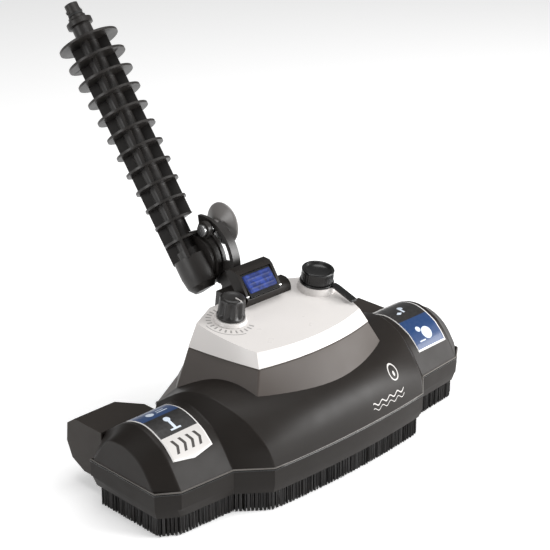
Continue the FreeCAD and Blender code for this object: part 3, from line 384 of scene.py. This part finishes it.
# every CAD node gets a finish; the visible ones get rounded moulding edges too
nodeFinish = {
    "base_frame": "base", "brush_carrier": "black", "upper_cover": "housing", "label_left": "labelLeft",
    "label_right": "labelRight", "nozzle_hood_left": "hood", "nozzle_hood_right": "hood", "top_cap": "cap",
    "detergent_tank": "natural", "filler_strap": "black", "filler_cap": "black", "selector_collar": "cap",
    "selector_knob": "knob", "selector_spindle": "black", "metering_valve": "black", "foot_pedal": "black",
    "pedal_pad": "pad", "pedal_housing": "housing", "pedal_pin": "steel", "pedal_spring": "steel",
    "neck_bracket": "wand", "pivot_pin": "steel", "pivot_nut": "steel", "pivot_seals": "rubber",
    "wand_foot": "wand", "wand_body": "wand", "water_tube": "steel", "wand_spigot": "wand",
    "spigot_seal": "rubber", "clamp_bolt": "steel", "clamp_washer": "steel", "clamp_knob": "dish",
    "front_spray_bar": "black", "front_nozzles": "brass",
    "rear_spray_bar": "black", "rear_nozzles": "brass",
    "bar_clips": "black", "bar_plugs": "black", "bar_stubs": "black", "manifold": "black",
    "inlet_elbow": "black",
    "dosing_tube": "rubber", "suction_tube": "rubber", "cover_screws": "steel", "neck_screws": "steel",
    "filler_seal": "rubber",
}
for name, node in nodes.items():
    wear(node, nodeFinish.get(name, "bristle"))

roundings = {
    "base_frame": 0.0009, "nozzle_hood_left": 0.0022, "nozzle_hood_right": 0.0022,
    "top_cap": 0.0011, "filler_strap": 0.0006, "selector_collar": 0.0005,
    "foot_pedal": 0.0006, "pedal_housing": 0.0014, "neck_bracket": 0.0008, "wand_foot": 0.0009,
    "wand_body": 0.0004, "wand_spigot": 0.0004, "clamp_knob": 0.0005, "pivot_nut": 0.0005,
    "clamp_bolt": 0.0004,
}


def roundEdges(piece, width, angle, segments=3):
    edge = piece.modifiers.new("mouldedEdge", "BEVEL")
    edge.width, edge.segments = width, segments
    edge.limit_method, edge.angle_limit = "ANGLE", math.radians(angle)
    shade = piece.modifiers.new("cleanShading", "WEIGHTED_NORMAL")
    shade.keep_sharp, shade.weight = True, 60
    return edge


def soften(name, width):
    source = nodes[name]
    mesh = source.data.copy()
    mesh.name = name + ".soft"
    work = bmesh.new()
    work.from_mesh(mesh)
    bmesh.ops.remove_doubles(work, verts=work.verts, dist=0.00002)
    bmesh.ops.dissolve_limit(work, angle_limit=math.radians(0.8), verts=work.verts, edges=work.edges)
    work.to_mesh(mesh)
    work.free()
    mesh.shade_smooth()
    piece = bpy.data.objects.new(name + ".soft", mesh)
    scene.collection.objects.link(piece)
    roundEdges(piece, width, 30, 2).miter_outer = "MITER_ARC"
    wear(piece, nodeFinish[name])
    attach(piece, source["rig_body"])
    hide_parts(name)


for name, width in roundings.items():
    soften(name, width)
print("stage: moulded edges rounded on", len(roundings), "pieces")

# the head's plan at the seam, half of it, as (x, y) about the ridge line
plan = {"half": [(0.210, 0.0462), (0.210, -0.0422), (0.1906, -0.056), (0.1318, -0.0605), (0.1032, -0.0843)],
        "nose": -0.0896, "stern": [(0.1197, 0.0462), (0.095, 0.088)], "noseSteps": 18}


def seamOutline():
    right = plan["half"]
    left = [(-x, y) for x, y in reversed(right)]
    (x0, y0), nose = right[-1], plan["nose"]
    sag = y0 - nose
    radius = (x0 * x0 + sag * sag) / (2 * sag)
    arc = []
    for step in range(1, plan["noseSteps"]):
        x = x0 - 2 * x0 * step / plan["noseSteps"]
        arc.append((x, nose + radius - math.sqrt(radius * radius - x * x)))
    stern = [(-x, y) for x, y in plan["stern"]]
    return right + arc + left + stern + [(-x, y) for x, y in reversed(stern)]


def inset(points, amount):
    moved = []
    count = len(points)
    for i, here in enumerate(points):
        before, after = Vector(points[i - 1]), Vector(points[(i + 1) % count])
        here = Vector(here)
        first, last = (here - before).normalized(), (after - here).normalized()
        normal = Vector((first.y + last.y, -first.x - last.x)).normalized()
        lean = max(0.3, normal.dot(Vector((first.y, -first.x))))
        moved.append(here - normal * (amount / lean))
    return moved


def signedArea(points):
    return sum(a[0] * b[1] - b[0] * a[1] for a, b in zip(points, points[1:] + points[:1])) / 2


outline = seamOutline()
if signedArea(outline) < 0:
    outline.reverse()


def sweepRing(name, points, height, radius, sides, finishName):
    def fill(work):
        rings = []
        count = len(points)
        for i, p in enumerate(points):
            before, after = Vector(points[i - 1]), Vector(points[(i + 1) % count])
            here = Vector(p)
            along = ((here - before).normalized() + (after - here).normalized()).normalized()
            side = Vector((along.y, -along.x, 0))
            ring = []
            for k in range(sides):
                turn = 2 * math.pi * k / sides
                spot = Vector((here.x, here.y - middleY, height)) + side * (radius * math.cos(turn))
                ring.append(work.verts.new(spot + Vector((0, 0, radius * math.sin(turn)))))
            rings.append(ring)
        for a, b in zip(rings, rings[1:] + rings[:1]):
            for k in range(sides):
                work.faces.new((a[k], a[(k + 1) % sides], b[(k + 1) % sides], b[k]))
    return newPiece(name, "head", finishName, fill)


# the seam: a bead in a pale tone, a painted highlight along the lip, over a black groove
seamTrim = {"bead": 0.0008, "beadRise": 0.0009, "beadInset": 0.0004, "beadSides": 10,
            "groove": 0.0008, "grooveDrop": 0.0006, "grooveInset": 0.0002, "grooveSides": 8}
beadLine = inset(outline, seamTrim["beadInset"])
grooveLine = inset(outline, seamTrim["grooveInset"])
sweepRing("seamBead", beadLine, seamZ + seamTrim["beadRise"], seamTrim["bead"], seamTrim["beadSides"],
          "seamHighlight")
sweepRing("seamGroove", grooveLine, seamZ - seamTrim["grooveDrop"], seamTrim["groove"],
          seamTrim["grooveSides"], "black")
print("stage: seam trim made")

# the cover: lines from the front foot over the top as (x, y, rise), rise being height over the seam
cover = {
    "middle": [(0, -.0896, 0), (0, -.0887, .010), (0, -.0862, .022), (0, -.0812, .033), (0, -.0735, .0415),
               (0, -.0635, .0475), (0, -.045, .0525), (0, 0, .056), (0, .0462, .045)],
    # the arch's edge leans outwards as it rises
    "crease": [(.1032, -.0843, 0), (.1045, -.0812, .0105), (.1070, -.0745, .0230), (.1105, -.0590, .0372),
               (.1148, -.0460, .0458), (.1180, -.0320, .0515), (.1210, -.0145, .0550), (.1240, .0040, .0532),
               (.1268, .0200, .0470), (.1290, .0462, .0290)],
    # the pod's inner and outer edges, then the closed end
    "podInner": [(.1318, -.0605, 0), (.1318, -.0588, .0022), (.1318, -.0455, .0217), (.1318, -.0376, .0300),
                 (.1318, -.029, .0365), (.1318, -.0115, .0436), (.1318, .0044, .0448), (.1318, .023, .0390),
                 (.1318, .0462, .0222)],
    "podOuter": [(.1906, -.0560, 0), (.1906, -.0545, .0022), (.1906, -.0417, .0217), (.1906, -.0345, .0300),
                 (.1906, -.0268, .0365), (.1906, -.0105, .0436), (.1906, .0044, .0448), (.1906, .023, .0390),
                 (.1906, .0462, .0222)],
    "end": [(.2095, -.0390, .0005), (.2095, -.0375, .0055), (.2095, -.0310, .0150), (.2095, -.0240, .0228),
            (.2095, -.0160, .0282), (.2095, -.0060, .0323), (.2095, .0044, .0333), (.2095, .0220, .0285),
            (.2095, .0430, .0012)],
    "along": 44, "between": 5, "apron": 22, "crowding": 1.5, "round": 0.0011, "fullness": 2.4,
}


def curveThrough(points, count):  # evenly spaced points of a smooth curve through the given ones
    spots = [Vector(p) for p in points]
    spots = [spots[0] * 2 - spots[1]] + spots + [spots[-1] * 2 - spots[-2]]
    fine = []
    for a, b, c, e in zip(spots, spots[1:], spots[2:], spots[3:]):
        for step in range(12):
            t = step / 12
            fine.append(((b * 2) + (c - a) * t + (a * 2 - b * 5 + c * 4 - e) * t * t
                         + (b * 3 - a - c * 3 + e) * t ** 3) / 2)
    fine.append(spots[-2])
    lengths = [0.0]
    for a, b in zip(fine, fine[1:]):
        lengths.append(lengths[-1] + (b - a).length)
    even, at = [], 0
    for step in range(count + 1):
        goal = lengths[-1] * step / count
        while at < len(fine) - 2 and lengths[at + 1] < goal:
            at += 1
        share = (goal - lengths[at]) / max(1e-9, lengths[at + 1] - lengths[at])
        even.append(fine[at].lerp(fine[at + 1], share))
    return even


def sectionLine(name):
    line = curveThrough(cover[name], cover["along"])
    return line + [Vector((line[-1].x, line[-1].y, 0.0))]


def archFill(work):
    crease, middle = sectionLine("crease"), sectionLine("middle")
    stations = []
    for step in range(cover["apron"], 0, -1):
        share = (step / cover["apron"]) ** cover["crowding"]
        rise = 1 - (1 - share) ** cover["fullness"]
        line = [Vector((a.x * (1 - share), *a.lerp(b, rise).yz)) for a, b in zip(crease, middle)]
        stations.append((line, False))
    lines = [crease] + [sectionLine(name) for name in ("podInner", "podOuter", "end")]
    for low, high in zip(lines, lines[1:]):
        for step in range(cover["between"]):
            t = step / cover["between"]
            stations.append(([a.lerp(b, t) for a, b in zip(low, high)], step == 0))
    stations.append((lines[-1], True))
    mirrored = [([Vector((-p.x, p.y, p.z)) for p in line], hard) for line, hard in reversed(stations[1:])]
    whole = mirrored + stations
    rows = [[work.verts.new((p.x, p.y - middleY, seamZ + p.z)) for p in line] for line, hard in whole]
    for a, b in zip(rows, rows[1:]):
        for k in range(len(a) - 1):
            work.faces.new((a[k], a[k + 1], b[k + 1], b[k]))
    for row in (rows[0], rows[-1]):
        work.faces.new(row)
    hardRows = [set(row) for row, (line, hard) in zip(rows, whole) if hard]
    last = {row[-2] for row in rows}
    for edge in work.edges:
        a, b = edge.verts
        if any(a in row and b in row for row in hardRows) or (a in last and b in last):
            edge.smooth = False


tower = {
    # front corner x and y, nose y, side x and y, rear corner x and y, rise
    "foot": (0.0945, -0.0499, -0.0784, 0.1066, 0.0463, 0.078, 0.0740, 0.030),
    "top": (0.0746, -0.0350, -0.0446, 0.0881, 0.0463, 0.056, 0.0635, 0.0723), "steps": 18, "levels": 6,
    "sternFront": 0.030, "sternRise": 0.030, "round": 0.0016,
    "sternFoot": plan["stern"], "sternTop": [(0.1066, 0.0462), (0.078, 0.0740)],
}


def towerRing(frontX, frontY, noseY, sideX, sideY, rearX, rearY, rise):
    sag = frontY - noseY
    radius = (frontX * frontX + sag * sag) / (2 * sag)
    ring = []
    for step in range(tower["steps"] + 1):
        x = -frontX + 2 * frontX * step / tower["steps"]
        ring.append((x, noseY + radius - math.sqrt(radius * radius - x * x)))
    ring += [(sideX, sideY), (rearX, rearY), (-rearX, rearY), (-sideX, sideY)]
    return [Vector((x, y - middleY, seamZ + rise)) for x, y in ring]


def sternRing(corners, rise):
    half = [(corners[0][0], tower["sternFront"]), *corners]
    ring = [(-half[0][0], half[0][1]), *half, *((-x, y) for x, y in reversed(corners))]
    return [(x, y - middleY, seamZ + rise) for x, y in ring]


def towerFill(work):
    low, high = towerRing(*tower["foot"]), towerRing(*tower["top"])
    rows = []
    for level in range(tower["levels"] + 1):
        t = level / tower["levels"]
        rows.append([work.verts.new(a.lerp(b, t)) for a, b in zip(low, high)])
    for a, b in zip(rows, rows[1:]):
        count = len(a)
        for k in range(count):
            work.faces.new((a[k], a[(k + 1) % count], b[(k + 1) % count], b[k]))
    work.faces.new(rows[-1])
    a = [work.verts.new(spot) for spot in sternRing(tower["sternFoot"], 0)]
    b = [work.verts.new(spot) for spot in sternRing(tower["sternTop"], tower["sternRise"])]
    count = len(a)
    for k in range(count):
        work.faces.new((a[k], a[(k + 1) % count], b[(k + 1) % count], b[k]))
    work.faces.new(b)


archPiece = newPiece("coverArch", "head", "housing", archFill)
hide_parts("upper_cover")
roundEdges(archPiece, cover["round"], 20)
towerPiece = newPiece("coverTower", "head", "tower", towerFill)
roundEdges(towerPiece, tower["round"], 22)


# the labels: thin films laid over the pods between two angles about the ridge line
def labelFill(side):
    lines = sectionLine("podInner")[:-1], sectionLine("podOuter")[:-1]
    inner, outer = lines[0][0].x, lines[1][0].x

    def spot(u, v, lift):
        x = label["inner"] + label["wide"] * v
        share = (x - inner) / (outer - inner)
        goal = math.radians(label["first"] + label["sweep"] * u)
        line = [a.lerp(b, share).yz for a, b in zip(*lines)]
        for a, b in zip(line, line[1:]):
            low, high = math.atan2(a.y, -a.x), math.atan2(b.y, -b.x)
            if high >= goal:
                break
        here = a.lerp(b, (goal - low) / (high - low))
        along = (b - a).normalized()
        here = here + Vector((-along.y, along.x)) * lift
        return Vector((side * x, here.x - middleY, seamZ + here.y))

    def fill(work):
        tops, sinks = [], []
        for j in range(label["across"] + 1):
            v = j / label["across"]
            tip = abs(v - 0.5) * label["point"] + label["tip"] if side < 0 else label["plainTip"]
            us = [tip + (label["end"] - tip) * i / label["along"] for i in range(label["along"] + 1)]
            tops.append([work.verts.new(spot(u, v, label["lift"])) for u in us])
            sinks.append([work.verts.new(spot(u, v, -label["sink"])) for u in us])
        for a, b in zip(tops, tops[1:]):
            for i in range(label["along"]):
                work.faces.new((a[i], a[i + 1], b[i + 1], b[i]))
        rim = [(tops[0], sinks[0]), (tops[-1], sinks[-1]), ([r[0] for r in tops], [r[0] for r in sinks]),
               ([r[-1] for r in tops], [r[-1] for r in sinks])]
        for high, low in rim:
            for i in range(len(high) - 1):
                work.faces.new((high[i], high[i + 1], low[i + 1], low[i]))
    return fill


for side, word in ((-1, "left"), (1, "right")):
    film = newPiece("label." + word, "head", "label" + word.capitalize(), labelFill(side))
    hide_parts("label_" + word)
print("stage: cover and labels made")

# the brush: rows of tufts, each a splayed bundle of filaments
brush = {"rows": (0.0068, 0.0090, 0.0112), "pitch": 0.0038, "filaments": 15, "top": 0.0205, "hole": 0.0011,
         "splay": 0.0013, "thick": 0.00040, "footThick": 0.8, "stray": 0.0001, "ragged": 0.0003,
         "sides": 3, "seed": 7}
stripWindows = {  # least x, greatest x, least y, greatest y
    "brush_front_center": (-0.1002, 0.1002, -0.1, -0.06),
    "brush_front_left": (-0.22, -0.1004, -0.1, -0.038), "brush_front_right": (0.1004, 0.22, -0.1, -0.038),
    "brush_side_left": (-0.22, -0.19, -0.0378, 0.030), "brush_side_right": (0.19, 0.22, -0.0378, 0.030),
    "brush_rear_left": (-0.22, -0.09, 0.0303, 0.1), "brush_rear_center": (-0.0898, 0.0898, 0.07, 0.1),
    "brush_rear_right": (0.09, 0.22, 0.0303, 0.1),
}


def tuftSpots():
    spots = []
    for row, depth in enumerate(brush["rows"]):
        line = inset(outline, depth)
        for a, b in zip(line, line[1:] + line[:1]):
            run = (b - a).length
            steps = max(1, round(run / brush["pitch"]))
            for step in range(steps):
                share = (step + (0.5 if row % 2 else 0.25)) / steps
                spots.append(a.lerp(b, min(share, 1.0)))
    return spots


def filament(work, spot, chance):
    turn = chance.uniform(0, 2 * math.pi)
    reach = math.sqrt(chance.random())
    out = Vector((math.cos(turn), math.sin(turn)))
    head = spot + out * (reach * brush["hole"])
    stray = Vector((chance.gauss(0, brush["stray"]), chance.gauss(0, brush["stray"])))
    foot = spot + out * (reach * brush["splay"]) + stray
    low = chance.uniform(0.0, brush["ragged"])
    sides = brush["sides"]
    rings = []
    for centre, height, thick in ((head, brush["top"], 1.0), (foot, low, brush["footThick"])):
        ring = []
        for k in range(sides):
            angle = turn + 2 * math.pi * k / sides
            size = brush["thick"] * thick
            x, y = centre.x + size * math.cos(angle), centre.y - middleY + size * math.sin(angle)
            ring.append(work.verts.new((x, y, height)))
        rings.append(ring)
    a, b = rings
    for k in range(sides):
        work.faces.new((a[k], a[(k + 1) % sides], b[(k + 1) % sides], b[k]))
    work.faces.new(b)


def bristles(window, spots, chance):
    x0, x1, y0, y1 = window

    def fill(work):
        for spot in spots:
            if x0 <= spot.x < x1 and y0 <= spot.y < y1:
                for number in range(brush["filaments"]):
                    filament(work, spot, chance)
    return fill


chance = random.Random(brush["seed"])
spots = tuftSpots()
for name, window in stripWindows.items():
    strip = newPiece(name + ".tufts", "head", "bristle", bristles(window, spots, chance), False)
    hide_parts(name)
print("stage: brush made,", len(spots), "tufts")


# turned pieces with optional grips: profile is (radius, height, grip depth)
def turnedFill(profile, steps, grips, spot, lean):
    turnUp = Matrix.Rotation(lean, 3, "X")

    def fill(work):
        rings = []
        for radius, height, depth in profile:
            if radius < 1e-6:
                rings.append([work.verts.new(Vector(spot) + turnUp @ Vector((0, 0, height)))])
                continue
            ring = []
            for k in range(steps):
                angle = 2 * math.pi * k / steps
                size = radius - depth * (0.5 - 0.5 * math.cos(angle * grips))
                rim = Vector((size * math.cos(angle), size * math.sin(angle), height))
                ring.append(work.verts.new(Vector(spot) + turnUp @ rim))
            rings.append(ring)
        for a, b in zip(rings, rings[1:]):
            for k in range(steps):
                n = (k + 1) % steps
                if len(a) == 1:
                    work.faces.new((a[0], b[k], b[n]))
                elif len(b) == 1:
                    work.faces.new((a[k], a[n], b[0]))
                else:
                    work.faces.new((a[k], a[n], b[n], b[k]))
    return fill


capSlope = math.radians(8.13)
capRise = 0.0893  # the sloping top's height over the seam at the ridge line


def onCap(x, y, lift=0.0):  # a point of the white cap's sloping top, raised square to it
    height = seamZ + capRise + math.tan(capSlope) * y
    return (x, y - middleY - math.sin(capSlope) * lift, height + math.cos(capSlope) * lift)


lid = {"x": 0.064, "y": 0.0255, "base": 0.0096, "radius": 0.0163, "tall": 0.0126, "grips": 40,
       "depth": 0.0005, "steps": 160,
       "plugRadius": 0.0106, "plugDeep": 0.008, "plugTop": 0.0006, "plugSteps": 64}


def makeLid():
    r, h, g = lid["radius"], lid["tall"], lid["depth"]
    profile = [(0, 0.0006, 0), (r - 0.0015, 0.0004, 0), (r - 0.0004, 0.0, 0), (r, 0.0005, 0), (r, 0.0015, g),
               (r - 0.0002, h - 0.0035, g), (r - 0.0001, h - 0.0026, 0), (r, h - 0.0008, 0),
               (r - 0.0006, h - 0.0001, 0), (r - 0.0014, h, 0), (r - 0.0022, h - 0.0004, 0),
               (r - 0.0034, h - 0.0026, 0), (r - 0.0060, h - 0.0038, 0), (0.004, h - 0.0042, 0),
               (0, h - 0.0042, 0)]
    spot = onCap(lid["x"], lid["y"], lid["base"])
    piece = newPiece("fillerLid", "filler_lid", "black",
                     turnedFill(profile, lid["steps"], lid["grips"], spot, capSlope))
    wide, deep, top = lid["plugRadius"], -lid["plugDeep"], lid["plugTop"]
    neck = [(0, deep, 0), (wide, deep, 0), (wide, top, 0), (0, top, 0)]
    newPiece("fillerLidPlug", "filler_lid", "black",
             turnedFill(neck, lid["plugSteps"], 1, spot, capSlope), False)
    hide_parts("filler_cap")


makeLid()
# the strap's ring round the filler's neck
ringProfile = [(0.0134, 0.0072, 0), (0.0169, 0.0071, 0), (0.0173, 0.0076, 0), (0.0173, 0.0088, 0),
               (0.0168, 0.0094, 0), (0.0134, 0.0094, 0)]
newPiece("strapRing", "head", "black",
         turnedFill(ringProfile, 96, 1, onCap(lid["x"], lid["y"]), capSlope))

knob = {"x": dial["x"], "y": dial["y"], "base": 0.0044, "radius": 0.0138, "tall": 0.022, "lobes": 9,
        "depth": 0.0022, "steps": 180, "face": 0.0011,
        "pointer": [(-0.0004, -0.0118), (0.0004, -0.0118), (0.0005, -0.0040), (-0.0005, -0.0040)],
        "pointerLow": 0.0004, "pointerHigh": 0.0014}


def makeKnob():
    r, h, g, face = knob["radius"], knob["tall"], knob["depth"], knob["tall"] - knob["face"]
    profile = [(0.0041, 0.0, 0), (r - 0.0006, 0.0, 0), (r, 0.0006, 0), (r, 0.0022, 0),
               (r - 0.0004, 0.0034, g * 0.6), (r - 0.0006, 0.0052, g), (r - 0.0010, 0.0150, g),
               (r - 0.0012, 0.0176, g * 0.7), (r - 0.0014, 0.0190, g * 0.3), (r - 0.0020, 0.0206, 0),
               (r - 0.0036, h - 0.0003, 0), (r - 0.0056, h, 0), (r - 0.0070, h - 0.0009, 0),
               (0.003, face, 0), (0, face, 0)]
    spot = onCap(knob["x"], knob["y"], knob["base"])
    piece = newPiece("dosingKnob", "selector", "knob",
                     turnedFill(profile, knob["steps"], knob["lobes"], spot, capSlope))
    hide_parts("selector_knob")

    def pointer(work):
        top = Matrix.Rotation(capSlope, 3, "X")
        foot = Vector(onCap(knob["x"], knob["y"], knob["base"] + h - knob["face"]))
        shape = knob["pointer"]
        low = [work.verts.new(foot + top @ Vector((x, y, knob["pointerLow"]))) for x, y in shape]
        high = [work.verts.new(foot + top @ Vector((x * 0.8, y, knob["pointerHigh"]))) for x, y in shape]
        work.faces.new(high)
        for k in range(4):
            work.faces.new((low[k], low[(k + 1) % 4], high[(k + 1) % 4], high[k]))
    newPiece("dosingPointer", "selector", "cap", pointer, False)


makeKnob()
print("stage: filler lid and dosing knob made")

# the blue pedal pad: a crowned sheet with cross ridges in the pedal's own leaning frame
pedal = {"y": 0.033, "rise": 0.1085, "angle": math.radians(48.65), "half": 0.0184, "low": 0.0008,
         "high": 0.0194, "thick": 0.0012, "ridges": 4, "ridge": 0.0003, "ridgeU": 0.82, "ridgeV": 0.86,
         "cornerPull": 0.05, "across": 48, "along": 40}


def padFill(work):
    lean = Matrix.Rotation(pedal["angle"], 3, "X")
    foot = Vector((0, pedal["y"] - middleY, seamZ + pedal["rise"]))

    def height(u, v):  # u, v from -1 to 1
        edge = min(1.0, (1 - abs(u) ** 6) * 3.5) * min(1.0, (1 - abs(v) ** 6) * 3.5)
        wave = 0.5 + 0.5 * math.cos(v * math.pi * pedal["ridges"])
        inside = 1.0 if abs(u) < pedal["ridgeU"] and abs(v) < pedal["ridgeV"] else 0.0
        return pedal["thick"] * edge + pedal["ridge"] * wave ** 3 * inside

    rows = []
    for j in range(pedal["along"] + 1):
        v = -1 + 2 * j / pedal["along"]
        row = []
        for i in range(pedal["across"] + 1):
            u = -1 + 2 * i / pedal["across"]
            corner = 1 - pedal["cornerPull"] * abs(v) ** 8
            x = u * pedal["half"] * corner
            y = pedal["low"] + (pedal["high"] - pedal["low"]) * (v + 1) / 2
            row.append(work.verts.new(foot + lean @ Vector((x, y, height(u, v)))))
        rows.append(row)
    for a, b in zip(rows, rows[1:]):
        for i in range(pedal["across"]):
            work.faces.new((a[i], a[i + 1], b[i + 1], b[i]))


pad = newPiece("pedalOvermould", "pedal", "pad", padFill)
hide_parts("pedal_pad")
print("stage: pedal pad made")

# floor, light and camera
studio = {
    "floor": 16.0, "floorGlow": 0.35, "sky": 0.24, "aim": (0, -0.05, 0.12), "lens": 100.3, "filmWidth": 36,
    "cameraSpot": (-0.952, -1.034, 0.743), "cameraTurn": (67.06, 0, -45.06),
    "lamps": {  # place, width and height, watts
        "frontSoftbox": ((1.15, -1.45, 0.62), (1.3, 0.9), 48),
        "topSoftbox": ((0.1, -0.1, 2.0), (1.5, 1.5), 22),
        "sideSoftbox": ((-1.7, 0.1, 0.6), (0.8, 0.6), 8),
    },
}


def makeFloor():
    mesh = bpy.data.meshes.new("floor")
    half = studio["floor"] / 2
    corners = [(-half, -half, 0), (half, -half, 0), (half, half, 0), (-half, half, 0)]
    mesh.from_pydata(corners, [], [(0, 1, 2, 3)])
    floor = bpy.data.objects.new("floor", mesh)
    scene.collection.objects.link(floor)
    finish = Finish("floorPaper", Roughness=0.95, Emission_Color=(1.0, 1.0, 1.0, 1.0),
                    Emission_Strength=studio["floorGlow"])
    finish.put("Base Color", finish.blend(finish.noise(3.0) * 0.04, (0.93, 0.93, 0.93), (0.88, 0.88, 0.88)))
    mesh.materials.append(finish.material)


def softLight(name, place, size, power):
    light = bpy.data.lights.new(name, "AREA")
    light.shape, light.size, light.size_y = "RECTANGLE", size[0], size[1]
    light.energy = power
    lamp = bpy.data.objects.new(name, light)
    lamp.location = place
    lamp.rotation_euler = (Vector(studio["aim"]) - Vector(place)).to_track_quat("-Z", "Y").to_euler()
    scene.collection.objects.link(lamp)


makeFloor()
for name, (place, size, power) in studio["lamps"].items():
    softLight(name, place, size, power)
world = bpy.data.worlds.new("studio")
world.use_nodes = True
sky = world.node_tree.nodes["Background"].inputs
sky["Color"].default_value = (1, 1, 1, 1)
sky["Strength"].default_value = studio["sky"]
scene.world = world
scene.view_settings.view_transform = "Standard"

lens = bpy.data.cameras.new("camera")
lens.lens, lens.sensor_width = studio["lens"], studio["filmWidth"]
camera = bpy.data.objects.new("camera", lens)
camera.location = studio["cameraSpot"]
camera.rotation_euler = [math.radians(turn) for turn in studio["cameraTurn"]]
scene.collection.objects.link(camera)
scene.camera = camera
print("stage: studio made")
